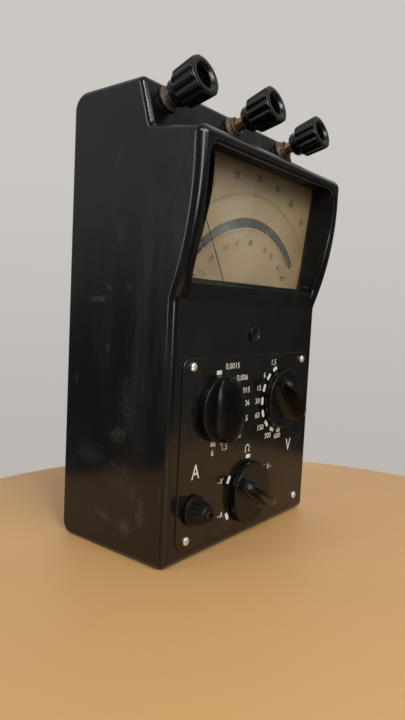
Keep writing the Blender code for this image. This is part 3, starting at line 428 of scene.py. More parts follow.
def plasticFinish(name, look, shine=0.5):
    # pressed black plastic: uneven polish, faint mottling, pale scuffs, dust and soft waves
    made, tree, shader, spot = newMaterial(name, Specular_IOR_Level=shine)
    mottle = ramp(tree, noise(tree, spot, look["mottleScale"], 5.0, 0.65), 0.35, 0.7)
    color = blend(tree, mottle, look["dark"], look["light"])
    wear = place(tree, "edgeWear", spot, Radius=look["wearRadius"], Amount=look["wear"],
                 Breakup=look["breakup"])
    color = blend(tree, wear, color, look["wornColor"])
    marks = place(tree, "scratches", spot, Scale=look["markScale"], Amount=look["marks"])
    color = blend(tree, marks, color, look["markColor"])
    haze = place(tree, "streaks", spot, Scale=look["streakScale"], Amount=look["streaks"])
    for y, z, wide, high, slant, amount in look["patches"]:
        mask = place(tree, "patch", spot, Center=(-stand["caseWidth"] / 2, y / 1000, z / 1000),
                     Size=(0.004, wide / 1000, high / 1000), Slant=math.radians(slant), Breakup=420.0,
                     Amount=abs(amount))
        haze = maths(tree, "MAXIMUM" if amount > 0 else "SUBTRACT", haze, mask, True)
    color = blend(tree, haze, color, look["hazeColor"])
    dust = place(tree, "dust", spot, Amount=look["dust"], Specks=look["specks"])
    color = blend(tree, dust, color, look["dustColor"])
    low, high = look["rough"]
    rough = place(tree, "smudge", spot, Scale=look["smudgeScale"], Low=low, High=high)
    for mask, gain in ((wear, 0.18), (marks, 0.3), (dust, 0.5), (haze, 0.35)):
        rough = maths(tree, "ADD", rough, times(tree, mask, gain), True)
    tree.links.new(color, shader.inputs["Base Color"])
    tree.links.new(rough, shader.inputs["Roughness"])
    wave = noise(tree, spot, look["waveScale"], 2.0, 0.4)
    grain = noise(tree, spot, look["grainScale"], 3.0, 0.6)
    height = maths(tree, "ADD", times(tree, wave, look["waveDepth"]), times(tree, grain, look["grainDepth"]))
    height = maths(tree, "SUBTRACT", height, times(tree, marks, look["grainDepth"] * 3.0))
    addBump(tree, shader, height, 0.001, 1.0)
    return made


def metalFinish(name, **changes):
    look = dict(nickelLook, **changes)
    made, tree, shader, spot = newMaterial(name)
    stain = ramp(tree, noise(tree, spot, look["stainScale"], 6.0, 0.7), *look["stain"])
    color = blend(tree, stain, look["bright"], look["dull"])
    wear = place(tree, "edgeWear", spot, Radius=0.0004, Amount=look["wear"], Breakup=500.0)
    color = blend(tree, wear, color, look["wornColor"])
    marks = place(tree, "scratches", spot, Scale=120.0, Amount=look["marks"])
    low, high = look["rough"]
    rough = place(tree, "smudge", spot, Scale=160.0, Low=low, High=high)
    rough = maths(tree, "ADD", rough, times(tree, stain, 0.22), True)
    tree.links.new(color, shader.inputs["Base Color"])
    tree.links.new(rough, shader.inputs["Roughness"])
    metallic = addNode(tree, "ShaderNodeMapRange", {"Value": stain, "To Min": 1.0, "To Max": look["oxide"]})
    tree.links.new(metallic.outputs[0], shader.inputs["Metallic"])
    height = maths(tree, "ADD", noise(tree, spot, 2400.0, 3.0), times(tree, marks, -0.6))
    addBump(tree, shader, height, look["bump"], 0.8)
    return made


blackLook = {
    "dark": (0.0018, 0.0018, 0.002), "light": (0.0042, 0.0041, 0.0042), "wornColor": (0.03, 0.026, 0.022),
    "markColor": (0.05, 0.047, 0.043), "dustColor": (0.12, 0.108, 0.092), "mottleScale": 40.0,
    "hazeColor": (0.044, 0.041, 0.037), "streakScale": 70.0, "streaks": 0.26, "patches": (),
    "wearRadius": 0.0012, "wear": 0.3, "breakup": 420.0, "markScale": 34.0, "marks": 0.22,
    "dust": 0.1, "specks": 0.45, "smudgeScale": 22.0, "rough": (0.13, 0.24),
    "waveScale": 26.0, "waveDepth": 0.05, "grainScale": 1500.0, "grainDepth": 0.003,
}
# worn spots on the left side, in mm and degrees: y and z of the middle, half width, half height, slant,
# strength; a strength below zero darkens
sideMarks = (
    (1.0, 173.8, 0.6, 6.8, -25.0, 0.82), (11.0, 112.7, 8.6, 1.7, 3.0, 1.0), (5.0, 118.0, 1.6, 1.6, 0.0, 0.74),
    (5.0, 91.6, 1.6, 2.2, 30.0, 0.87), (25.0, 75.8, 1.3, 3.2, 0.0, 0.65), (-9.5, 68.0, 6.5, 14.0, 8.0, 0.47),
    (-4.0, 54.0, 7.0, 4.2, 20.0, 0.7), (14.0, 42.0, 10.0, 5.5, 0.0, 0.42), (-6.0, 35.0, 13.0, 8.5, 0.0, 0.42),
    (13.0, 31.0, 3.6, 6.0, 30.0, -0.36), (2.5, 24.0, 3.6, 7.2, 58.0, -0.39),
    (-8.0, 20.5, 3.4, 6.4, 75.0, -0.36), (4.0, 15.5, 5.5, 2.2, -10.0, 1.0), (-10.0, 13.5, 5.0, 4.2, 0.0, 1.0),
    (-19.0, 22.0, 3.0, 8.0, 0.0, 1.0), (-14.0, 30.0, 3.4, 5.0, 0.0, 0.65), (-8.0, 118.0, 2.4, 2.0, 0.0, 0.59),
    (-1.5, 141.0, 4.0, 8.0, 0.0, 0.36),
)
caseBlack = plasticFinish("caseBlack", dict(blackLook, patches=sideMarks))
mouthBlack = plasticFinish("mouthBlack", dict(blackLook, rough=(0.5, 0.6), dust=0.0, specks=0.0), 0.14)
plateBlack = plasticFinish("plateBlack", dict(blackLook, dark=(0.0034, 0.003, 0.0022), rough=(0.13, 0.21),
                                              light=(0.006, 0.005, 0.0036), waveDepth=0.012, wear=0.25))
knobBlack = plasticFinish("knobBlack", dict(blackLook, rough=(0.24, 0.36), dust=0.06, waveDepth=0.02,
                                            streaks=0.12, marks=0.14, mottleScale=120.0,
                                            markScale=90.0), 0.27)
capBlack = plasticFinish("capBlack", dict(blackLook, rough=(0.2, 0.34), dust=0.2, specks=0.6, waveDepth=0.02,
                                          mottleScale=160.0, markScale=110.0, wear=0.5))
nickelLook = {"bright": (0.66, 0.64, 0.6), "dull": (0.3, 0.26, 0.2), "wornColor": (0.55, 0.42, 0.22),
              "stainScale": 700.0, "stain": (0.42, 0.66), "wear": 0.5, "rough": (0.18, 0.34),
              "marks": 0.5, "bump": 0.00004, "oxide": 0.72}
nickel = metalFinish("agedNickel")
collarNickel = metalFinish("tarnishedNickel", bright=(0.33, 0.275, 0.21), dull=(0.13, 0.1, 0.068),
                           stainScale=380.0, stain=(0.34, 0.58), rough=(0.26, 0.42))
mirrorBand = metalFinish("dialMirror", bright=(0.46, 0.45, 0.41), dull=(0.42, 0.4, 0.35), stainScale=40.0,
                         rough=(0.1, 0.14), marks=0.0, wear=0.0, bump=0.000001, oxide=1.0)
screwNickel = metalFinish("paleNickel", bright=(0.9, 0.89, 0.86), dull=(0.74, 0.7, 0.64), rough=(0.34, 0.46))
brass = metalFinish("agedBrass", bright=(0.42, 0.28, 0.14), dull=(0.17, 0.1, 0.055),
                    wornColor=(0.75, 0.56, 0.27), rough=(0.25, 0.42))
steel = metalFinish("dullSteel", bright=(0.5, 0.5, 0.5), dull=(0.2, 0.17, 0.15))
darkSteel = metalFinish("magnetSteel", bright=(0.2, 0.2, 0.21), dull=(0.1, 0.09, 0.08))
copper = metalFinish("coilCopper", bright=(0.62, 0.27, 0.12), dull=(0.3, 0.12, 0.06))
print("metals and plastics ready")


def paperFinish(name, pale, brown, rough, paintedShades=(), paintedShadeColor=(0.0, 0.0, 0.0)):
    made, tree, shader, spot = newMaterial(name, Roughness=rough)
    age = ramp(tree, noise(tree, spot, 28.0, 5.0, 0.6), 0.3, 0.75)
    fibre = noise(tree, spot, 1800.0, 3.0, 0.6)
    color = blend(tree, age, pale, brown)
    darker = tuple(part * 0.7 for part in brown)
    color = blend(tree, times(tree, ramp(tree, fibre, 0.5, 0.8), 0.25), color, darker)
    if paintedShades:
        # painted shade: darker and browner towards the right and along the top edge, where the brow and the
        # right cheek shade the dial
        axes = addNode(tree, "ShaderNodeSeparateXYZ", {0: spot})
        for low, high, axis, amount in paintedShades:
            share = times(tree, ramp(tree, axes.outputs[axis], low, high), amount)
            color = blend(tree, share, color, paintedShadeColor)
    tree.links.new(color, shader.inputs["Base Color"])
    addBump(tree, shader, fibre, 0.00003, 0.5)
    return made


# the dial paper gets painted shade towards its right side and along its top edge under the brow
dialPaper = paperFinish("dialPaper", (0.25, 0.184, 0.112), (0.212, 0.15, 0.084), 0.6,
                        ((0.02, 0.058, 0, 0.7), (0.034, 0.056, 1, 0.5)), (0.2, 0.125, 0.045))
phenolic = paperFinish("phenolicBoard", (0.32, 0.17, 0.08), (0.24, 0.12, 0.05), 0.5)
batteryWrap = paperFinish("batteryWrap", (0.25, 0.05, 0.04), (0.17, 0.04, 0.03), 0.45)


def inkFinish(name, color, chalk, rough=0.5):
    # paint or ink with thin, worn places
    made, tree, shader, spot = newMaterial(name, Roughness=rough)
    thin = ramp(tree, noise(tree, spot, 900.0, 4.0, 0.6), 0.45, 0.75)
    tree.links.new(blend(tree, thin, color, chalk), shader.inputs["Base Color"])
    return made


whiteFill = inkFinish("whiteFill", (0.72, 0.7, 0.64), (0.45, 0.42, 0.36))
dialInk = inkFinish("dialInk", (0.05, 0.04, 0.025), (0.12, 0.092, 0.052))
redInk = inkFinish("redInk", (0.17, 0.075, 0.04), (0.24, 0.13, 0.07))
needleBlack = inkFinish("needlePaint", (0.045, 0.035, 0.024), (0.07, 0.055, 0.04), 0.4)


def makeGlass():
    made, tree, shader, spot = newMaterial("windowGlass", Transmission_Weight=1.0, IOR=1.5, Metallic=0.0)
    shader.inputs["Base Color"].default_value = (0.97, 0.98, 0.96, 1.0)
    haze = place(tree, "smudge", spot, Scale=30.0, Low=0.0, High=0.05)
    tree.links.new(haze, shader.inputs["Roughness"])
    clear = addNode(tree, "ShaderNodeBsdfTransparent", {"Color": (0.93, 0.94, 0.92, 1.0)})
    path = addNode(tree, "ShaderNodeLightPath")
    mixed = addNode(tree, "ShaderNodeMixShader", {0: path.outputs["Is Shadow Ray"], 1: shader.outputs[0],
                                                  2: clear.outputs[0]})
    tree.links.new(mixed.outputs[0], tree.nodes["Material Output"].inputs["Surface"])
    return made


windowGlass = makeGlass()


# Case
caseLook = {
    "rearTop": 0.008, "rearBottom": 0.006, "blockEdge": 0.003, "notch": 0.003, "headEdge": 0.0045,
    "bendEdge": 0.008, "toe": 0.004, "frontSide": 0.0035, "headSide": 0.0046, "topSide": 0.003,
    "blockSide": 0.003, "rimSide": 0.002,
    "windowWidth": 0.098, "windowHeight": 0.0528, "windowCorner": 0.003, "draft": math.radians(12.0),
    "topDraft": math.radians(1.0), "sillDrop": 0.0026, "sillSlope": 0.002, "barSlope": math.radians(7.0),
    "mouthTop": 0.0024, "mouthSide": 0.0032,
    "mouthCorner": 0.005, "mouthStart": 0.0012, "mouthSteps": 30, "openingSide": 0.0036,
    "openingLow": 0.0062, "openingTop": 0.0058, "crispEdge": 0.00035, "adjusterHole": 0.00275,
    "studHole": 0.00325, "mouthLeast": 0.00012, "mouthShare": 0.8, "mouthDeep": 0.004, "mouthInside": 0.0008,
    "mouthOutside": 0.0004, "mouthLift": 0.00003, "dullSide": 0.004, "dullEnd": 0.002, "dullDepth": 0.0018,
}


def flareY(z):
    # front surface of the head at one height
    length = stand["flareTop"] - stand["bend"]
    radius = (length ** 2 + stand["headReach"] ** 2) / (2 * stand["headReach"])
    headY = frontY - stand["headReach"]
    if z >= stand["flareTop"]:
        return headY
    drop = min(length, stand["flareTop"] - z)
    return headY + radius - math.sqrt(radius ** 2 - drop ** 2)


def profileRing(corners, arcSteps):
    # corners run counter-clockwise as (y, z, radius, side radius)
    points = []
    for index, (y, z, radius, side) in enumerate(corners):
        before = Vector(corners[index - 1][:2])
        after = Vector(corners[(index + 1) % len(corners)][:2])
        here = Vector((y, z))
        into, out = (here - before).normalized(), (after - here).normalized()
        turn = math.atan2(into.x * out.y - into.y * out.x, into.dot(out))
        if radius == 0:
            normal = Vector((into.y + out.y, -into.x - out.x)).normalized()
            points.append((here, normal, side))
            continue
        bend = 1 if turn > 0 else -1
        start = here - into * radius * math.tan(abs(turn) / 2)
        middle = start + bend * radius * Vector((-into.y, into.x))
        steps = max(2, round(arcSteps * abs(turn) / math.radians(90.0)))
        for step in range(steps + 1):
            angle = turn * step / steps
            normal = Vector((into.y * math.cos(angle) + into.x * math.sin(angle),
                             -into.x * math.cos(angle) + into.y * math.sin(angle)))
            points.append((middle + bend * radius * normal, normal, side))
    return points


def shellSolid(points, width, sideSteps):
    bm = bmesh.new()
    rings = []
    for sign in (-1, 1):
        order = range(sideSteps, -1, -1) if sign < 0 else range(sideSteps + 1)
        for step in order:
            angle = math.radians(90.0) * (1 - step / sideSteps)
            ring = []
            for point, normal, side in points:
                inset = side * (1 - math.sin(angle))
                x = sign * (width / 2 - side * (1 - math.cos(angle)))
                ring.append((x, point.x - normal.x * inset, point.y - normal.y * inset))
            rings.append(ring)
    return addSections(bm, rings)


def barDepth(z):
    # how deep the sunk bar under the window lies at one height
    look = caseLook
    top = stand["sill"] - look["sillDrop"]
    if z <= top:
        y = frontY - (z - stand["bend"]) * math.tan(look["barSlope"])
    else:
        low = frontY - (top - stand["bend"]) * math.tan(look["barSlope"])
        y = low + look["sillSlope"] * (z - top) / look["sillDrop"]
    if z > stand["sill"]:
        y = frontY + stand["seatInset"]
    return y - flareY(z)


def mouthBand():
    # quarter-round band along the sides and top of the window mouth
    look = caseLook
    flare = math.tan(look["draft"])
    low = stand["bend"] + look["mouthStart"]
    top = onDial(0.0, look["windowHeight"]).z
    rise = math.tan(look["topDraft"]) - math.tan(stand["dialTilt"])
    wallTop = top + (onDial(0.0, look["windowHeight"]).y - flareY(top)) * rise
    corner, sideSteps, arc = look["mouthCorner"], look["mouthSteps"], 8
    path = []     # x, z and the direction away from the window
    for step in range(sideSteps + 1):
        z = low + (wallTop - corner - low) * step / sideSteps
        depth = max(0.0, frontY + stand["seatInset"] - flareY(z))
        x = look["windowWidth"] / 2 + depth * flare
        path.append((x, z, 1.0, 0.0))
    x = path[-1][0]
    for step in range(1, arc + 1):
        angle = math.radians(90.0) * step / arc
        path.append((x - corner + corner * math.cos(angle), wallTop - corner + corner * math.sin(angle),
                     math.cos(angle), math.sin(angle)))
    path += [(-x, z, -nx, nz) for x, z, nx, nz in reversed(path)]
    rings = []
    for x, z, nx, nz in path:
        edge = look["mouthSide"] + (look["mouthTop"] - look["mouthSide"]) * nz ** 2
        radius = max(look["mouthLeast"], min(edge, look["mouthShare"] * barDepth(z)))
        front, deep = flareY(z), -look["mouthDeep"]
        inner, lift = -look["mouthInside"], look["mouthLift"]
        ring = [(inner, deep), (inner, radius)]
        for step in range(arc + 1):
            angle = math.radians(90.0) * step / arc
            ring.append((radius * (1 - math.cos(angle)), radius * (1 - math.sin(angle)) - lift))
        ring.append((radius + look["mouthOutside"], deep))
        rings.append([(x + nx * out, front + depth, z + nz * out) for out, depth in ring])
    return addSections(bmesh.new(), rings)


def buildCase():
    look = caseLook
    headY = frontY - stand["headReach"]
    notchY = backY - stand["blockDepth"]
    notchZ = stand["headTop"] + stand["ledgeRise"]
    height = stand["caseHeight"]
    blockTopY = notchY + (height - notchZ) * math.tan(stand["faceLean"])
    corners = [(backY, 0.0, look["rearBottom"], look["rimSide"]),
               (backY, height, look["rearTop"], look["topSide"]),
               (blockTopY, height, look["blockEdge"], look["blockSide"]),
               (notchY, notchZ, look["notch"], look["blockSide"]),
               (headY, stand["headTop"], look["headEdge"], look["headSide"])]
    flareSteps = 14
    for step in range(flareSteps):
        z = stand["flareTop"] + (stand["bend"] - stand["flareTop"]) * step / flareSteps
        side = look["headSide"] + (look["frontSide"] - look["headSide"]) * step / flareSteps
        corners.append((flareY(z), z, 0.0, side))
    corners.append((frontY, stand["bend"], look["bendEdge"], look["frontSide"]))
    corners.append((frontY, 0.0, look["toe"], look["frontSide"]))
    shell = shellSolid(profileRing(corners, 10), stand["caseWidth"], 8)
    case = toObject("caseShell", shell)

    # inside, open at the back
    wall = stand["wall"]
    seatEdge = paneLook["lap"] + paneLook["rail"] + paneLook["room"]
    low, high = onDial(0.0, -seatEdge), onDial(0.0, look["windowHeight"] + seatEdge)
    ceiling, roof = notchZ - wall, height - wall
    innerY = notchY + wall / math.cos(stand["faceLean"]) - wall * math.tan(stand["faceLean"])
    lean = (roof - ceiling) * math.tan(stand["faceLean"])
    openTop = height - look["openingTop"]
    inner = [(backY + over, look["openingLow"]), (backY + over, openTop), (backY - look["rearTop"], openTop),
             (backY - look["rearTop"] - wall, roof), (innerY + lean, roof), (innerY, ceiling),
             (high.y, high.z), (low.y, low.z), (frontY + wall, low.z - look["sillDrop"]),
             (frontY + wall, look["openingLow"])]
    halfOpening = stand["caseWidth"] / 2 - look["openingSide"]
    tools = [(prism(inner, -halfOpening, halfOpening, toX),)]

    # window with drafted walls, the sunk bar under it and the rounded mouth
    reach = stand["headReach"] * 2
    flare = math.tan(look["draft"])
    seat = roundRect(look["windowWidth"], look["windowHeight"], look["windowCorner"])
    spread = reach * flare
    rise = reach * math.tan(look["topDraft"])
    mouth = [(x + math.copysign(spread, x), y + (rise if y > 0 else 0.0)) for x, y in seat]
    rings = [[(x, y, out) for x, y in ring] for ring, out in ((seat, -over), (seat, 0.0), (mouth, reach))]
    tools.append((addSections(bmesh.new(), rings), onDial(0.0, look["windowHeight"] / 2), dialTurn))
    bit = 0.0001
    barY = frontY - bit
    sillY = barY - (stand["sill"] - look["sillDrop"] - stand["bend"]) * math.tan(look["barSlope"])
    bar = [(barY, stand["bend"]), (sillY, stand["sill"] - look["sillDrop"]),
           (sillY + look["sillSlope"], stand["sill"] + bit),
           (frontY - reach, stand["sill"] + look["sillSlope"]), (frontY - reach, stand["bend"])]
    barSolid = prism(bar, -look["windowWidth"] / 2, look["windowWidth"] / 2, toX)
    for point in barSolid.verts:
        point.co.x += math.copysign((frontY + stand["seatInset"] - point.co.y) * flare, point.co.x)
    tools += [(barSolid,), (mouthBand(),)]

    # plate recess and the holes through the walls
    room = plateLook["room"]
    recess = roundRect(plateLook["width"] + room, plateLook["height"] + room, plateLook["corner"])
    middle = fromFront(0.0, plateLook["bottom"] + plateLook["height"] / 2)
    tools.append((prism(recess, -plateLook["recess"], over), middle, frontTurn))
    holes = bmesh.new()
    addHoles(holes, [*controls.values(), (0.0, adjusterZ(), look["adjusterHole"])], -wall - over, 32)
    for x in terminalLook["xs"]:
        addRod(holes, look["studHole"], -wall * 2, over, 32, moved(onTerminal(x), terminalTurn))
    carve(case, *tools, (holes,))
    rimmed(case, look["crispEdge"], 2)
    evened(case)
    dress(case, caseBlack, "case", "case_shell")
    # the walls of the window mouth are dull
    case.data.materials.append(mouthBlack)
    for face in case.data.polygons:
        x, y, z = face.center
        across = abs(x) < look["windowWidth"] / 2 + look["dullSide"]
        along = onDial(0.0, look["dullEnd"]).z < z < stand["headTop"] - look["dullEnd"]
        if across and along and flareY(z) + look["dullDepth"] < y < frontY + stand["seatInset"]:
            face.material_index = 1


def adjusterZ():
    return onDial(0.0, -stand["pivotDrop"], stand["seatInset"]).z


def addHoles(bm, spots, low, segments):
    for x, z, radius in spots:
        addRod(bm, radius, low, over, segments, moved(fromFront(x, z), frontTurn))


# Front plate with its slotted screws
plateLook = {"width": 0.104, "height": 0.0833, "bottom": 0.0066, "corner": 0.005, "face": 0.0006,
             "back": 0.00065, "edge": 0.00045, "room": 0.0002, "recess": 0.0008, "screwX": 0.0459,
             "screwZ": (0.086, 0.0105), "screwHole": 0.00125}


def buildPlate():
    look = plateLook
    middle = fromFront(0.0, look["bottom"] + look["height"] / 2)
    plate = toObject("frontPlate", prism(roundRect(look["width"], look["height"], look["corner"], 12),
                                         -look["back"], look["face"]), middle, frontTurn)
    holes = bmesh.new()
    addHoles(holes, controls.values(), -over, 32)
    sides = (-look["screwX"], look["screwX"])
    addHoles(holes, [(x, z, look["screwHole"]) for x in sides for z in look["screwZ"]], -over, 20)
    carve(plate, (holes,))
    rimmed(plate, look["edge"], 3)
    evened(plate)
    dress(plate, plateBlack, "case", "front_plate")


# head and thread are radii; each screw's slot points its own way
screwLook = {
    "plate": {"head": 0.0019, "thread": 0.001, "length": 0.0034, "rise": 0.0014, "slot": 0.0007},
    "cover": {"head": 0.0032, "thread": 0.0015, "length": 0.009, "rise": 0.0012, "slot": 0.0007},
    "lid": {"head": 0.00375, "thread": 0.0015, "length": 0.009, "rise": 0.00095, "slot": 0.0012},
}


def buildScrew(kind, mark, location, turn, material, angle):
    head, thread, length, rise, slot = screwLook[kind].values()
    turn = spun(turn, angle)
    rows = rounded([(0.0, -length), (thread * 0.6, -length), (thread, -length + thread * 0.5),
                    (thread, 0.0), (head, 0.0), (head, rise * 0.45, rise * 0.4),
                    (head * 0.72, rise * 0.86, rise), (0.0, rise)])
    screw = toObject(kind + "Screw" + mark, lathe(rows, 40), location, turn)
    cut = prism(roundRect(head * 3, slot, slot / 5, 2), rise * 0.35, rise + over)
    carve(screw, (cut, location, turn))
    rimmed(screw, slot * 0.1, 2)
    dress(screw, material, "case", kind + "_screw" + ("_" + mark if mark else ""))


def buildPlateScrews():
    face = plateLook["face"] + seatGap
    spots = [(x, z) for z in plateLook["screwZ"] for x in (-plateLook["screwX"], plateLook["screwX"])]
    for index, (x, z) in enumerate(spots):
        buildScrew("plate", str(index + 1), fromFront(x, z, face), frontTurn, screwNickel, 0.5 + 1.1 * index)


# Range knobs: a skirt and a grip with scooped sides and a thin arched crest
knobLook = {"skirt": 0.0152, "skirtHeight": 0.0034, "rim": 0.0008, "reach": 0.0146, "height": 0.0133,
            "endHeight": 0.0058, "foot": 0.0075, "crest": 0.0011, "scoop": 1.7, "neck": 0.0038,
            "blade": 0.0024, "line": 0.0064, "hollow": 0.0085, "hollowDepth": 0.0026, "bore": 0.0031,
            "boreTop": 0.0056, "lift": 0.001, "lip": 0.0002, "edge": 0.00028}


def gripSolid(look):
    # a low scooped mound, then a thin upright blade with an arched crest
    floor, lip = look["skirtHeight"] - look["rim"], look["lip"]
    stations, low, high = 56, 14, 6
    rings = []
    for station in range(stations + 1):
        lean = math.cos(math.pi * station / stations)
        arch = math.sqrt(max(0.0, 1.0 - lean ** 2))
        top = look["endHeight"] + (look["height"] - look["endHeight"]) * arch
        foot, neck, blade = (look["crest"] + (wide - look["crest"]) * arch
                             for wide in (look["foot"], look["neck"], look["blade"]))
        line = min(look["line"], top - 2 * lip)
        side = [(neck + (foot - neck) * (1.0 - level / low) ** look["scoop"],
                 floor + (line - floor) * level / low) for level in range(low + 1)]
        side += [(blade + (look["crest"] - blade) * level / high,
                  line + lip + (top - line - lip) * level / high) for level in range(high + 1)]
        points = side + [(-x, z) for x, z in reversed(side)]
        rings.append([(x, -lean * look["reach"], z) for x, z in points])
    return addSections(bmesh.new(), rings)


def buildKnob(name, rest):
    # rest is how far the knob is turned in the photograph's setting
    look = knobLook
    x, z = controls[name][:2]
    location, turn = fromFront(x, z, look["lift"]), spun(frontTurn, math.radians(rest))
    rows = rounded([(0.0, look["skirtHeight"]), (look["skirt"], look["skirtHeight"], look["rim"]),
                    (look["skirt"], 0.0, look["rim"] / 2), (0.0, 0.0)], 6)
    knob = toObject(name + "Knob", lathe(rows, 96), location, turn)
    hollow = lathe([(0.0, -over), (look["hollow"], -over), (look["hollow"], look["hollowDepth"]),
                    (look["bore"], look["hollowDepth"]), (look["bore"], look["boreTop"]),
                    (0.0, look["boreTop"])], 48)
    carve(knob, (gripSolid(look), location, turn, "UNION"), (hollow, location, turn))
    rimmed(knob, look["edge"], 3, 40.0)
    evened(knob)
    dress(knob, knobBlack, name + "_switch", name + "_knob")


# Ohm zero knob: small, fluted, with a raised ring
ohmLook = {"skirt": 0.0069, "skirtHeight": 0.0011, "body": 0.0061, "tip": 0.0043, "height": 0.0082,
           "ring": 0.0029, "length": 0.0098, "flutes": 18, "fluteDepth": 0.00032, "hollow": 0.0053,
           "hollowDepth": 0.0025, "bore": 0.0021, "lift": 0.001, "shoulder": 0.00037}


fluteLook = {"fade": 0.0006, "narrow": 1.6}


def flutes(count, depth, low, high, least=0.0):
    # rounded grooves that fade out at both ends of the gripped length; radii up to least stay round
    def ripple(angle, radius, height):
        if radius <= least or height <= low or height >= high:
            return 0.0
        fade = min(1.0, (height - low) / fluteLook["fade"], (high - height) / fluteLook["fade"])
        wave = 0.5 + 0.5 * math.cos(angle * count)
        return depth * fade * wave ** fluteLook["narrow"]

    return ripple


def buildOhmKnob():
    look = ohmLook
    location = fromFront(*controls["ohm"][:2], look["lift"])
    skirt, foot, body, tip = look["skirt"], look["skirtHeight"], look["body"], look["tip"]
    hollow, depth, bore, height = look["hollow"], look["hollowDepth"], look["bore"], look["height"]
    ring, length = look["ring"], look["length"]
    top = depth + height / 3
    rows = [(0.0, top), (bore, top), (bore, depth), (hollow, depth), (hollow, 0.0)]
    rows += rounded([(hollow, 0.0), (skirt, 0.0, 0.0002), (skirt, foot, 0.0003),
                     (body, foot + 0.0003, 0.0003), (body - 0.0001, foot + 0.0006)], 4)[1:]
    steps = 16
    start = foot + 0.0007
    for step in range(steps + 1):
        share = step / steps
        rows.append((body + (tip - body) * share - 0.0001 * (1 - share), start + (height - start) * share))
    face = height + look["shoulder"]
    rows += rounded([(tip, height), (tip - 0.0004, face, 0.0003), (ring, face, 0.0002),
                     (ring, length, 0.0003), (ring / 2, length, 0.0003), (ring / 2, face, 0.0002),
                     (0.0, face)], 4)[1:]
    ripple = flutes(look["flutes"], look["fluteDepth"], start, height)
    knob = toObject("ohmZeroKnob", lathe(rows, 192, False, ripple), location, frontTurn, 40.0)
    dress(knob, knobBlack, "ohm_zero", "ohm_zero_knob")


# Screw terminals: stud, collar, washer and a ribbed socket cap
terminalLook = {"stud": 0.003, "collarFlange": 0.0056, "collar": 0.0046, "collarHeight": 0.0038,
                "washer": 0.0052, "washerThick": 0.0008, "capLength": 0.0162, "neck": 0.006,
                "neckLength": 0.0042, "cap": 0.0083, "mouth": 0.0087, "flutes": 12, "fluteDepth": 0.0009,
                "socket": 0.0046, "socketDepth": 0.0072, "pitch": 0.0008, "groove": 0.00022, "tail": 0.0022,
                "nutThick": 0.0026, "jack": 0.00205, "jackDepth": 0.006, "flangeTop": 0.0014,
                "collarFoot": 0.0017, "waist": 0.0005, "chamfer": 0.0004, "ridgesEnd": 0.0006,
                "tipEdge": 0.0005, "jackEdge": 0.0003, "gripStart": 0.0014, "gripEnd": 0.0016,
                "fluteStart": 0.0004, "fluteEnd": 0.0002, "fluteWall": 0.0012,
                "turnsOut": (0.0, 6.5, 5.5), "xs": (-0.046, 0.0, 0.046)}


def buildTerminals():
    look = terminalLook
    hole = look["stud"] + 0.0001
    base = seatGap + look["collarHeight"] + seatGap
    capBase = base + look["washerThick"] + seatGap
    for index, x in enumerate(look["xs"]):
        mark = str(index + 1)
        lift = look["turnsOut"][index] * look["pitch"]
        buildCollar(mark, x, hole)
        wide, thick = look["washer"], look["washerThick"]
        rows = rounded([(hole, 0.0), (wide, 0.0, 0.0002), (wide, thick, 0.0002), (hole, thick)], 3)
        spot = onTerminal(x, base + lift)
        washer = toObject("terminalWasher" + mark, lathe(rows, 64, True), spot, terminalTurn)
        dress(washer, collarNickel, "washer_" + mark, "terminal_washer_" + mark)
        buildStud(mark, x, capBase + look["capLength"] - look["socketDepth"] + seatGap)
        buildCap(mark, onTerminal(x, capBase + lift), hole)


def buildCollar(mark, x, hole):
    look = terminalLook
    flange, wide, height = look["collarFlange"], look["collar"], look["collarHeight"]
    waist = wide - look["waist"]
    rows = rounded([(hole, seatGap), (flange, seatGap, 0.0003), (flange, look["flangeTop"], 0.0004),
                    (wide, look["collarFoot"], 0.0003), (wide, height * 0.6, 0.0003),
                    (waist, height * 0.65, 0.0002), (waist, height * 0.78, 0.0002),
                    (wide, height * 0.84, 0.0003), (wide, seatGap + height, 0.0005),
                    (hole, seatGap + height)], 4)
    collar = toObject("terminalCollar" + mark, lathe(rows, 64, True), onTerminal(x), terminalTurn, 40.0)
    dress(collar, collarNickel, "case", "terminal_collar_" + mark)


def buildStud(mark, x, tip):
    # fine ridges where caps and nuts run, a jack bored into the end
    look = terminalLook
    radius, jack, chamfer = look["stud"], look["jack"], look["chamfer"]
    pitch, groove = look["pitch"], look["groove"]
    end = -stand["wall"] - seatGap - look["nutThick"] - look["tail"]
    rows = [(0.0, end), (radius - chamfer, end)]
    low = end + chamfer
    for step in range(int((tip - look["ridgesEnd"] - low) / pitch)):
        start = low + step * pitch
        rows += [(radius - groove, start), (radius, start + pitch * 0.5)]
    rows += [(radius - groove, tip - look["tipEdge"]), (radius - chamfer, tip),
             (jack + look["jackEdge"], tip), (jack, tip - chamfer), (jack, tip - look["jackDepth"]),
             (0.0, tip - look["jackDepth"])]
    stud = toObject("terminalStud" + mark, lathe(rows, 48), onTerminal(x), terminalTurn, 60.0)
    dress(stud, brass, "case", "terminal_stud_" + mark)


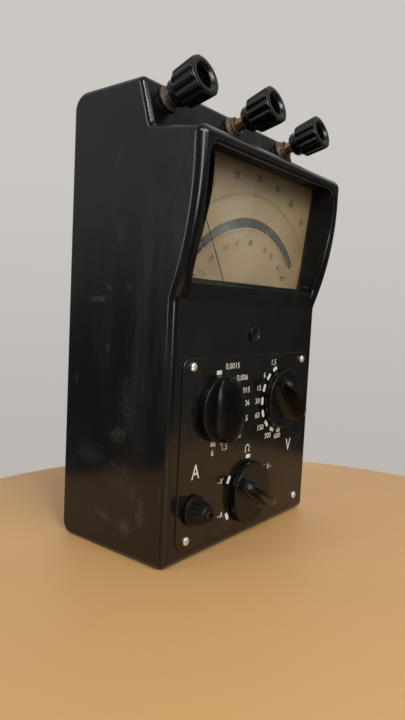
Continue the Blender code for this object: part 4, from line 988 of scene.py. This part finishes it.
def buildCap(mark, location, hole):
    # ribbed part from the neck to the mouth, then the socket
    look = terminalLook
    neck, body, mouth, socket = look["neck"], look["cap"], look["mouth"], look["socket"]
    length, flare = look["capLength"], look["neckLength"]
    floor = length - look["socketDepth"]
    low, high, steps = flare + look["gripStart"], length - look["gripEnd"], 14
    rows = rounded([(hole, 0.0), (neck, 0.0, 0.0004), (neck, flare * 0.62, 0.0012),
                    (body - 0.0002, flare + 0.0002, 0.0012), (body, low)], 6)
    for step in range(1, steps + 1):
        share = step / steps
        rows.append((body + (mouth - body) * share, low + (high - low) * share))
    rows += rounded([(mouth, high), (mouth, length - 0.0003, 0.0008), (mouth - 0.0014, length, 0.0006),
                     (socket + 0.0012, length, 0.0004), (socket, length - 0.0012, 0.0006), (socket, floor),
                     (hole, floor)], 5)[1:]
    # the socket inside stays round
    ripple = flutes(look["flutes"], look["fluteDepth"], flare - look["fluteStart"],
                    length - look["fluteEnd"], body - look["fluteWall"])
    cap = toObject("terminalCap" + mark, lathe(rows, 180, True, ripple), location, terminalTurn, 45.0)
    dress(cap, capBlack, "cap_" + mark, "terminal_cap_" + mark)


# Zero adjuster: a slotted plug in the panel
adjusterLook = {"shank": 0.0025, "length": 0.008, "head": 0.0042, "rise": 0.0009, "dish": 0.0006,
                "dishRim": 0.0031, "dishFloor": 0.0029, "slotLength": 0.0056, "slotWidth": 0.0009,
                "slotFloor": 0.0002, "pin": 0.0006, "pinOffset": 0.0013, "pinEnd": 0.0092, "pinStart": 0.007,
                "rest": math.radians(60.0), "edge": 0.00008}


def buildAdjuster():
    look = adjusterLook
    location = fromFront(0.0, adjusterZ())
    shank, length, head, rise, dish = (look[key] for key in ("shank", "length", "head", "rise", "dish"))
    rows = rounded([(0.0, -length), (shank, -length), (shank, seatGap), (head, seatGap), (head, rise, 0.0004),
                    (look["dishRim"], rise, 0.0003), (look["dishFloor"], dish, 0.0002), (0.0, dish)], 4)
    turn = spun(frontTurn, look["rest"])
    plug = toObject("zeroAdjuster", lathe(rows, 64), location, turn)
    slot = prism(roundRect(look["slotLength"], look["slotWidth"], 0.0002, 3), look["slotFloor"], over)
    pin = addRod(bmesh.new(), look["pin"], -look["pinEnd"], -look["pinStart"], 12,
                 Matrix.Translation((0.0, look["pinOffset"], 0.0)))
    carve(plug, (slot, location, turn), (pin, location, frontTurn, "UNION"))
    rimmed(plug, look["edge"], 2)
    dress(plug, caseBlack, "adjuster", "zero_adjuster")


# Printed dial: arcs are inner and outer radius, start and end in degrees from straight up, clockwise
dialLook = {
    "middle": (0.0012, -0.0228), "mirror": (0.049, 0.0532, -47.0, 46.2),
    "outer": (0.0633, 0.0635, -44.0, 46.0), "inner": (0.0478, 0.04795, -45.0, 46.0),
    "minor": 0.0008, "major": 0.0018, "tickWidth": 0.0002, "tickGap": 0.0001, "figure": 0.0042,
    "outerTicks": (-40.5, 76.5, 60), "innerTicks": (-43.0, 45.0, 2.2, 1.1),
    "innerTick": (0.0473, 0.0009, 0.00018),
    "smallFigure": 0.0034, "outerAt": 0.0715, "innerAt": 0.0424, "low": -0.00006, "high": 0.00005,
    "outerFigures": (("0", -40.5), ("10", -27.5), ("20", -14.0), ("30", 0.0), ("40", 12.3), ("50", 24.6),
                     ("60", 36.0)),
    "redFigures": (("200", -38.5), ("100", -25.0), ("60", -14.0)),
    "innerFigures": (("30", 0.0), ("15", 17.2), ("10", 26.5), ("5", 38.4)),
    "signBars": ((0.0335, 0.0056, 0.0046, 0.0009), (0.032, 0.0042, 0.0009, 0.0004),
                 (0.0335, 0.0042, 0.0009, 0.0004), (0.035, 0.0042, 0.0009, 0.0004),
                 (0.028, 0.0094, 0.0022, 0.0005)),
    "waves": ((-0.0301, 90.0, -90.0), (-0.0281, -90.0, -270.0)), "wave": (0.0042, 0.0008, 0.0012),
}


def onArc(middle, radius, angle):
    # angle in degrees from straight up, clockwise
    turn = math.radians(angle)
    return middle[0] + radius * math.sin(turn), middle[1] + radius * math.cos(turn)


def addArc(bm, middle, inner, outer, start, end, low, high, steps):
    rings = []
    for step in range(steps + 1):
        angle = start + (end - start) * step / steps
        near, far = onArc(middle, inner, angle), onArc(middle, outer, angle)
        rings.append([(*near, low), (*far, low), (*far, high), (*near, high)])
    return addSections(bm, rings)


def addBar(bm, middle, width, height, angle, low, high, corner=0.0):
    # angle in degrees, clockwise
    outline = roundRect(width, height, corner or min(width, height) / 8, 3)
    matrix = Matrix.Translation((*middle, 0.0)) @ Matrix.Rotation(math.radians(-angle), 4, "Z")
    return addPrism(bm, outline, low, high, matrix)


def addText(bm, body, size, x, y, low, high, squeeze, slant=0.0, bold=0.0):
    # solid letters from the built-in font, centred on x and y; bold thickens the strokes
    curve = bpy.data.curves.new("letters", "FONT")
    curve.body = body
    curve.size = size
    curve.extrude = (high - low) / 2
    curve.resolution_u = 3
    curve.offset = bold
    item = bpy.data.objects.new("letters", curve)
    bpy.context.scene.collection.objects.link(item)
    view = bpy.context.evaluated_depsgraph_get()
    mesh = bpy.data.meshes.new_from_object(item.evaluated_get(view))
    left = min(point.co.x for point in mesh.vertices)
    right = max(point.co.x for point in mesh.vertices)
    top = max(point.co.y for point in mesh.vertices)
    centred = Matrix.Translation((-(left + right) / 2, -top / 2, 0.0))
    turned = Matrix.Rotation(math.radians(-slant), 4, "Z") @ Matrix.Diagonal((squeeze, 1.0, 1.0, 1.0))
    mesh.transform(Matrix.Translation((x, y, (low + high) / 2)) @ turned @ centred)
    bm.from_mesh(mesh)
    bpy.data.objects.remove(item)
    bpy.data.curves.remove(curve)
    bpy.data.meshes.remove(mesh)


# Window: the pane and the frame that holds it, screwed to the dial sheet
paneLook = {"lap": 0.0012, "rail": 0.0012, "room": 0.0009, "corner": 0.0015, "frameSide": 0.0045,
            "frameRail": 0.0015, "frameDepth": 0.005, "opening": 0.0006, "notch": 0.0072,
            "notchDepth": 0.0024, "screwX": 0.0526, "screwUp": 0.0264, "screwHole": 0.00125,
            "sweepRoom": 0.011, "paneEdge": 0.0002, "frameEdge": 0.00015}


def addScrewHoles(bm, low, high, turned):
    look = paneLook
    for x in (-look["screwX"], look["screwX"]):
        spot = onDial(x, look["screwUp"]) if turned else Vector((x, look["screwUp"], 0.0))
        addRod(bm, look["screwHole"], low, high, 20, moved(spot, dialTurn if turned else Matrix.Identity(3)))


def buildWindow():
    look = paneLook
    middle = onDial(0.0, caseLook["windowHeight"] / 2)
    corner, glassBack = look["corner"], stand["glassBack"]
    width, height = (caseLook[key] + 2 * look["lap"] for key in ("windowWidth", "windowHeight"))
    sheet = prism(roundRect(width, height, corner, 5), glassBack, -seatGap)
    pane = toObject("windowPane", sheet, middle, dialTurn)
    rimmed(pane, look["paneEdge"], 2)
    dress(pane, windowGlass, "case", "window_glass")

    outline = roundRect(width + 2 * look["frameSide"], height + 2 * look["frameRail"], corner, 5)
    border = toObject("paneFrame", prism(outline, -look["frameDepth"], -seatGap), middle, dialTurn)
    deep = -look["frameDepth"] - over
    seat = prism(roundRect(width + 2 * fitGap, height + 2 * fitGap, corner, 5), glassBack - seatGap, over)
    opening = roundRect(caseLook["windowWidth"] + 2 * look["opening"],
                        caseLook["windowHeight"] + 2 * look["opening"], caseLook["windowCorner"], 6)
    # room for the needle in the lower rail
    sweep = stand["pivotDrop"] * math.tan(needleLook["rest"]) + look["sweepRoom"]
    notch = prism(roundRect(sweep * 2, look["notch"], fitGap, 2), deep, -look["notchDepth"])
    holes = bmesh.new()
    addScrewHoles(holes, deep, over, True)
    carve(border, (seat, middle, dialTurn), (prism(opening, deep, over), middle, dialTurn),
          (notch, onDial(0.0, 0.0), dialTurn), (holes,))
    rimmed(border, look["frameEdge"], 2)
    dress(border, caseBlack, "case", "glass_frame")


sheetLook = {"side": 0.0545, "apron": 0.035, "top": 0.0553, "low": -0.0025, "bottom": -0.034, "thick": 0.0008,
             "hole": 0.0168, "edge": 0.0001}


def buildDial():
    # sheet wide behind the window, narrower below it and open round the pivot
    look = sheetLook
    face, back = stand["dialFace"], stand["dialFace"] - look["thick"]
    side, apron, top, low, bottom = (look[key] for key in ("side", "apron", "top", "low", "bottom"))
    outline = [(-side, top), (-side, low), (-apron, low), (-apron, bottom), (apron, bottom), (apron, low),
               (side, low), (side, top)]
    sheet = toObject("dialSheet", prism(outline, back, face), onDial(0.0, 0.0), dialTurn)
    holes = bmesh.new()
    pivot = Matrix.Translation((0.0, -stand["pivotDrop"], 0.0))
    addRod(holes, look["hole"], back - over, face + over, 96, pivot)
    addScrewHoles(holes, back - over, face + over, False)
    carve(sheet, (holes, onDial(0.0, 0.0), dialTurn))
    rimmed(sheet, look["edge"], 2)
    dress(sheet, dialPaper, "case", "dial_sheet")


def buildDialPrint():
    look = dialLook
    middle = look["middle"]
    low, high = stand["dialFace"] + look["low"], stand["dialFace"] + look["high"]
    inner, outer, start, end = look["mirror"]
    band = addArc(bmesh.new(), middle, *look["mirror"], low, high, 72)
    tip = onArc(middle, (inner + outer) / 2, end)
    addRod(band, (outer - inner) / 2, low, high + 0.00001, 32, Matrix.Translation((*tip, 0.0)))
    dress(toObject("dialMirrorBand", band, onDial(0.0, 0.0), dialTurn), mirrorBand, "case")

    ink = bmesh.new()
    for key in ("outer", "inner"):
        addArc(ink, middle, *look[key], low, high, 60)
    start, sweep, count = look["outerTicks"]
    for step in range(count + 1):
        angle = start + sweep * step / count
        length = look["major"] if step % 5 == 0 else look["minor"]
        spot = onArc(middle, look["outer"][1] + length / 2 + look["tickGap"], angle)
        addBar(ink, spot, look["tickWidth"], length, angle, low, high)
    start, end, spacing, growth = look["innerTicks"]
    radius, length, width = look["innerTick"]
    angle = start
    while angle < end:
        addBar(ink, onArc(middle, radius, angle), width, length, angle, low, high)
        angle += spacing + growth * (angle - start) / (end - start)
    addFigures(ink, "outerFigures", "figure", "outerAt", squeeze=0.9, bold=0.00012)
    addFigures(ink, "innerFigures", "smallFigure", "innerAt", squeeze=0.9, bold=0.0001)
    # direct and alternating current signs, low on both sides
    for x, y, width, height in look["signBars"]:
        addBar(ink, (x, y), width, height, 0.0, low, high)
    y, inner, outer = look["wave"]
    for x, start, end in look["waves"]:
        addArc(ink, (x, y), inner, outer, start, end, low, high, 10)
    dress(toObject("dialPrint", ink, onDial(0.0, 0.0), dialTurn), dialInk, "case")
    red = bmesh.new()
    addFigures(red, "redFigures", "smallFigure", "innerAt", squeeze=0.8)
    dress(toObject("dialPrintRed", red, onDial(0.0, 0.0), dialTurn), redInk, "case")


def addFigures(bm, figures, size, radius, squeeze, bold=0.0):
    look = dialLook
    low, high = stand["dialFace"] + look["low"], stand["dialFace"] + look["high"]
    for body, angle in look[figures]:
        x, y = onArc(look["middle"], look[radius], angle)
        addText(bm, body, look[size], x, y, low, high, squeeze, angle, bold)


# tail is a list of shares of its length and half widths
needleLook = {"lift": 0.0019, "thick": 0.0004, "edge": 0.0001, "length": 0.066, "half": 0.0004,
              "tipHalf": 0.00012, "tail": ((-1.0, 0.0022), (-0.9, 0.0023), (-0.6, 0.00185), (-0.25, 0.0009)),
              "tailLength": 0.011, "hub": 0.0022, "hole": 0.0008, "rest": math.radians(36.0)}


def buildNeedle():
    # flat blade that narrows to the tip, with a hub and a tail weight
    look = needleLook
    low = stand["dialFace"] + look["lift"]
    high = low + look["thick"]
    bottom, top = low + look["edge"], high - look["edge"]
    rows = [(share * look["tailLength"], half) for share, half in look["tail"]]
    rows += [(look["length"] * step / 12, look["half"] + (look["tipHalf"] - look["half"]) * step / 12)
             for step in range(13)]
    rings = [[(-half, y, bottom), (0.0, y, low), (half, y, bottom), (half, y, top), (0.0, y, high),
              (-half, y, top)] for y, half in rows]
    location = onDial(0.0, -stand["pivotDrop"])
    turn = spun(dialTurn, look["rest"])
    needle = toObject("needleBlade", addSections(bmesh.new(), rings), location, turn)
    hub = addRod(bmesh.new(), look["hub"], low - look["thick"], low + look["thick"] / 2, 40)
    hole = addRod(bmesh.new(), look["hole"], low - over, low + over, 20)
    carve(needle, (hub, location, turn, "UNION"), (hole, location, turn))
    dress(needle, needleBlack, "pointer", "needle")


# White-filled figures and bars on the plate
plateText = {
    "size": 0.0039, "low": -0.0001, "high": 0.00004, "barLength": 0.0038, "barWidth": 0.0019,
    "amps": (("0,0015", -0.0172, 0.0852), ("0,006", -0.009, 0.0793), ("0,015", -0.0066, 0.0731),
             ("0,06", -0.0054, 0.0668), ("0,15", -0.0062, 0.0593), ("0,6", -0.0104, 0.0518),
             ("1,5", -0.0205, 0.0478), ("6", -0.0296, 0.0465)),
    "volts": (("1,5", 0.0184, 0.0854), ("6", 0.0104, 0.0793), ("15", 0.0061, 0.0731),
              ("30", 0.0051, 0.0668), ("60", 0.0057, 0.0596), ("150", 0.0092, 0.0531),
              ("300", 0.0163, 0.048), ("600", 0.0257, 0.0467)),
    "letters": (("A", -0.0409, 0.04, 0.0094), ("V", 0.0375, 0.0402, 0.0094),
                ("\u2013V", -0.0224, 0.0318, 0.0042), ("V~", 0.0192, 0.0316, 0.0042),
                ("\u2013A", -0.0213, 0.0157, 0.0042), ("A~", 0.0202, 0.0157, 0.0042)),
    "ohm": (-0.0016, 0.0444), "ampsAt": 0.0163, "voltsAt": 0.0168, "functionsAt": 0.0176,
    "functionsMiddle": (-0.0006, 0.0226), "ohmRing": (0.00135, 0.00185, 142.0),
    "ohmFoot": (0.00152, 0.0017, 0.0013, 0.0005), "voltStep": -22.5, "ampStart": 191.0, "ampStep": -24.3,
    "functionAngles": (0.0, 60.0, 120.0, -60.0, -120.0),
}


def buildPlateText():
    look = plateText
    low, high = plateLook["face"] + look["low"], plateLook["face"] + look["high"]
    bm = bmesh.new()
    for body, x, z in look["amps"] + look["volts"]:
        addText(bm, body, look["size"], x, z, low, high, squeeze=1.06)
    for body, x, z, size in look["letters"]:
        addText(bm, body, size, x, z, low, high, squeeze=0.86)
    # ohm sign drawn as an open ring on two feet
    x, z = look["ohm"]
    inner, outer, sweep = look["ohmRing"]
    addArc(bm, (x, z), inner, outer, -sweep, sweep, low, high, 28)
    aside, drop, width, height = look["ohmFoot"]
    for sign in (-1, 1):
        addBar(bm, (x + sign * aside, z - drop), width, height, 0.0, low, high)
    # bars at the switch positions; the amps have a wider step before the last
    bars = []
    for step in range(8):
        bars.append((controls["voltage"][:2], look["voltsAt"], look["voltStep"] * (step + 1)))
        angle = look["ampStart"] + look["ampStep"] * (step + (step == 7))
        bars.append((controls["current"][:2], look["ampsAt"], angle))
    for angle in look["functionAngles"]:
        bars.append((look["functionsMiddle"], look["functionsAt"], angle))
    long, wide = look["barLength"], look["barWidth"]
    for middle, radius, angle in bars:
        addBar(bm, onArc(middle, radius, angle), long, wide, angle, low, high, wide / 4)
    letters = toObject("plateFigures", bm, fromFront(0.0, 0.0), frontTurn)
    dress(letters, whiteFill, "case")


# Back: cover with its screws, the battery lid and its coin screw
coverLook = {"width": 0.1108, "height": 0.1924, "middle": 0.1027, "thick": 0.003, "postX": 0.0511,
             "postZ": (0.1946, 0.0108), "sink": 0.0016, "shank": 0.00175, "lidWidth": 0.064,
             "lidHeight": 0.038, "lidBottom": 0.02, "lidCorner": 0.003, "lidThick": 0.0022, "lidLap": 0.0035,
             "corner": 0.0006, "edge": 0.00025, "lidEdge": 0.0003}


def addCounterbore(bm, head, thick, sink, x, z):
    # through hole with a sunk seat for a screw head
    shank, wide = coverLook["shank"], head + fitGap
    end = -thick - over
    rows = [(0.0, end), (shank, end), (shank, -sink), (wide, -sink), (wide, over), (0.0, over)]
    return addLathe(bm, rows, 40, moved((x, stand["coverFace"], z), backTurn))


def buildBack():
    look = coverLook
    face, thick, corner = stand["coverFace"], look["thick"], look["lidCorner"]
    lidWidth, lidHeight, lidThick = look["lidWidth"], look["lidHeight"], look["lidThick"]
    lidSpot = Vector((0.0, face, look["lidBottom"] + lidHeight / 2))
    sheet = prism(roundRect(look["width"], look["height"], look["corner"], 3), -thick, 0.0)
    cover = toObject("backCover", sheet, Vector((0.0, face, look["middle"])), backTurn)
    recess = roundRect(lidWidth + 2 * fitGap, lidHeight + 2 * fitGap, corner, 10)
    opening = roundRect(lidWidth - 2 * look["lidLap"], lidHeight - 2 * look["lidLap"], corner, 8)
    holes = bmesh.new()
    spots = [(x, z) for z in look["postZ"] for x in (-look["postX"], look["postX"])]
    for x, z in spots:
        addCounterbore(holes, screwLook["cover"]["head"], thick, look["sink"], x, z)
    carve(cover, (prism(recess, -lidThick - seatGap, over), lidSpot, backTurn),
          (prism(opening, -thick - over, 0.0), lidSpot, backTurn), (holes,))
    rimmed(cover, look["edge"], 2)
    evened(cover)
    dress(cover, caseBlack, "case", "back_cover")
    for index, (x, z) in enumerate(spots):
        seat = (x, face - look["sink"] + seatGap, z)
        buildScrew("cover", str(index + 1), seat, backTurn, nickel, 0.4 + 0.9 * index)

    sheet = prism(roundRect(lidWidth, lidHeight, corner, 10), -lidThick, 0.0)
    lid = toObject("batteryLid", sheet, lidSpot, backTurn)
    head, sink = screwLook["lid"]["head"], lidThick / 2
    screwX = lidWidth / 2 - head - look["lidLap"]
    carve(lid, (addCounterbore(bmesh.new(), head, lidThick, sink, screwX, lidSpot.z),))
    rimmed(lid, look["lidEdge"], 3)
    evened(lid)
    dress(lid, caseBlack, "case", "battery_lid")
    buildScrew("lid", "", (screwX, face - sink + seatGap, lidSpot.z), backTurn, nickel, 0.0)


buildCase()
print("case ready")
buildPlate()
buildPlateScrews()
for name, rest in (("current", 0.0), ("voltage", 42.0), ("function", 60.0)):
    buildKnob(name, rest)
buildOhmKnob()
buildTerminals()
buildAdjuster()
print("controls ready")
buildWindow()
buildDial()
buildDialPrint()
buildNeedle()
buildPlateText()
buildBack()
print("window, print and back ready")

# What stays as built gets its finish
finishes = {
    "cover": caseBlack, "lid": caseBlack, "frame": caseBlack, "glass": windowGlass, "sheet": dialPaper,
    "needle": needleBlack, "coil": copper, "cup": darkSteel, "core": steel, "bridge": brass, "tray": phenolic,
    "battery": batteryWrap, "pot": steel, "bush": brass, "shaft": brass, "stud": brass, "deck": phenolic,
}
for name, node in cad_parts.items():
    word = name.rstrip("_0123456789").split("_")[-1]
    node.data.materials.clear()
    node.data.materials.append(finishes.get(word, nickel))


# Stage, light and camera
stageLook = {
    "table": (0.69, 0.4, 0.162), "tableMiddle": (-0.0279, -0.0749), "tableRadius": 0.2029,
    "tableThick": 0.022, "wallLow": (0.5, 0.47, 0.445), "wallHigh": (0.6, 0.57, 0.54),
    "behind": (0.14, 0.13, 0.12), "leftLow": (0.1, 0.098, 0.095), "leftHigh": (0.42, 0.42, 0.415),
    "rightLow": (0.2, 0.196, 0.188), "rightDim": (0.042, 0.038, 0.033), "rightHigh": (0.2, 0.19, 0.175),
}
# lamps by name: place, width and height, watts, colour
lampLook = {
    "windowLight": ((-0.6, -1.0, 0.5), (0.2, 0.9), 5.5, (0.94, 0.97, 1.0)),
    "sideLight": ((-1.05, 0.42, 0.45), (0.14, 0.8), 2.4, (0.8, 0.9, 1.0)),
    "ceilingLight": ((-0.2, -1.0, 0.85), (1.0, 0.5), 9.0, (1.0, 0.97, 0.92)),
    "lampLight": ((-0.75, -0.55, 1.0), (0.07, 0.07), 2.0, (1.0, 0.98, 0.94)),
}
hazeLook = {"place": (0.94, -0.73, 0.345), "smallest": 0.06, "growth": 0.031, "count": 9, "power": 0.72,
            "stretch": 1.25, "color": (0.82, 0.9, 1.0)}
cameraLook = {"place": (-0.2321, -0.1866, 0.1103), "ahead": (0.7797, 0.62, -0.0876),
              "right": (0.625, -0.7791, 0.0485), "lens": 28.8625, "sensor": 36.0,
              "clip": (0.01, 20.0)}
ahead = Vector(cameraLook["ahead"]).normalized()


def plainFinish(name, color, rough):
    made, tree, shader, spot = newMaterial(name, Roughness=rough)
    tone = blend(tree, noise(tree, spot, 9.0, 4.0), color, tuple(part * 0.9 for part in color))
    tree.links.new(tone, shader.inputs["Base Color"])
    return made


def buildStage():
    look = stageLook
    edge, thick = look["tableRadius"], look["tableThick"]
    rows = rounded([(0.0, -thick), (edge, -thick, 0.004), (edge, 0.0, 0.003), (0.0, 0.0)], 6)
    table = toObject("table", lathe(rows, 180), (*look["tableMiddle"], 0.0))
    table.data.materials.append(plainFinish("paleTable", look["table"], 0.5))


def areaLight(name, location, size, power, color, shape="RECTANGLE"):
    data = bpy.data.lights.new(name, "AREA")
    data.shape = shape
    data.size, data.size_y = size
    data.energy = power
    data.color = color
    item = bpy.data.objects.new(name, data)
    bpy.context.scene.collection.objects.link(item)
    item.location = location
    middle = Vector((0.0, 0.0, 0.1))
    item.rotation_euler = (middle - Vector(location)).to_track_quat("-Z", "Y").to_euler()
    item.visible_camera = False


def buildLight():
    for name, values in lampLook.items():
        areaLight(name, *values)
    # a dim far window, seen only as soft-edged haze on the glass
    look = hazeLook
    for step in range(look["count"]):
        size = look["smallest"] + look["growth"] * step
        areaLight("hazeLight%d" % step, look["place"], (size, size * look["stretch"]),
                  look["power"] * size ** 2, look["color"], "ELLIPSE")


def buildRoom():
    # pale wall ahead, dimmer room to both sides and behind
    look = stageLook
    room = bpy.data.worlds.new("room")
    bpy.context.scene.world = room
    room.use_nodes = True
    tree = room.node_tree
    way = addNode(tree, "ShaderNodeTexCoord").outputs["Generated"]

    def along(x, y):
        return vectorMaths(tree, "DOT_PRODUCT", way, (x, y, 0.0))["Value"]

    def shade(value, low, high, a, b):
        return blend(tree, ramp(tree, value, low, high), a, b)

    height = addNode(tree, "ShaderNodeSeparateXYZ", {0: way}).outputs["Z"]
    level = Vector((ahead.x, ahead.y, 0.0)).normalized()
    front, right = along(level.x, level.y), along(level.y, -level.x)
    wall = shade(height, -0.32, 0.3, look["wallLow"], look["wallHigh"])
    color = shade(front, -0.3, 0.2, look["behind"], wall)
    color = shade(right, -0.45, -0.8, color, shade(height, -0.08, 0.22, look["leftLow"], look["leftHigh"]))
    dim = shade(right, 0.9, 0.99, look["rightDim"], look["rightLow"])
    color = shade(right, 0.45, 0.8, color, shade(height, 0.15, 0.8, dim, look["rightHigh"]))
    tree.links.new(color, tree.nodes["Background"].inputs["Color"])


def buildCamera():
    data = bpy.data.cameras.new("camera")
    data.sensor_width = cameraLook["sensor"]
    data.lens = cameraLook["lens"]
    data.clip_start, data.clip_end = cameraLook["clip"]
    item = bpy.data.objects.new("camera", data)
    bpy.context.scene.collection.objects.link(item)
    right = Vector(cameraLook["right"]).normalized()
    down = ahead.cross(right).normalized()
    right = down.cross(ahead).normalized()
    turn = Matrix((right, -down, -ahead)).transposed()
    item.matrix_world = moved(cameraLook["place"], turn)
    bpy.context.scene.camera = item


buildStage()
buildLight()
buildRoom()
buildCamera()
bpy.context.scene.view_settings.view_transform = "Standard"
bpy.context.view_layer.update()
print("stage ready")
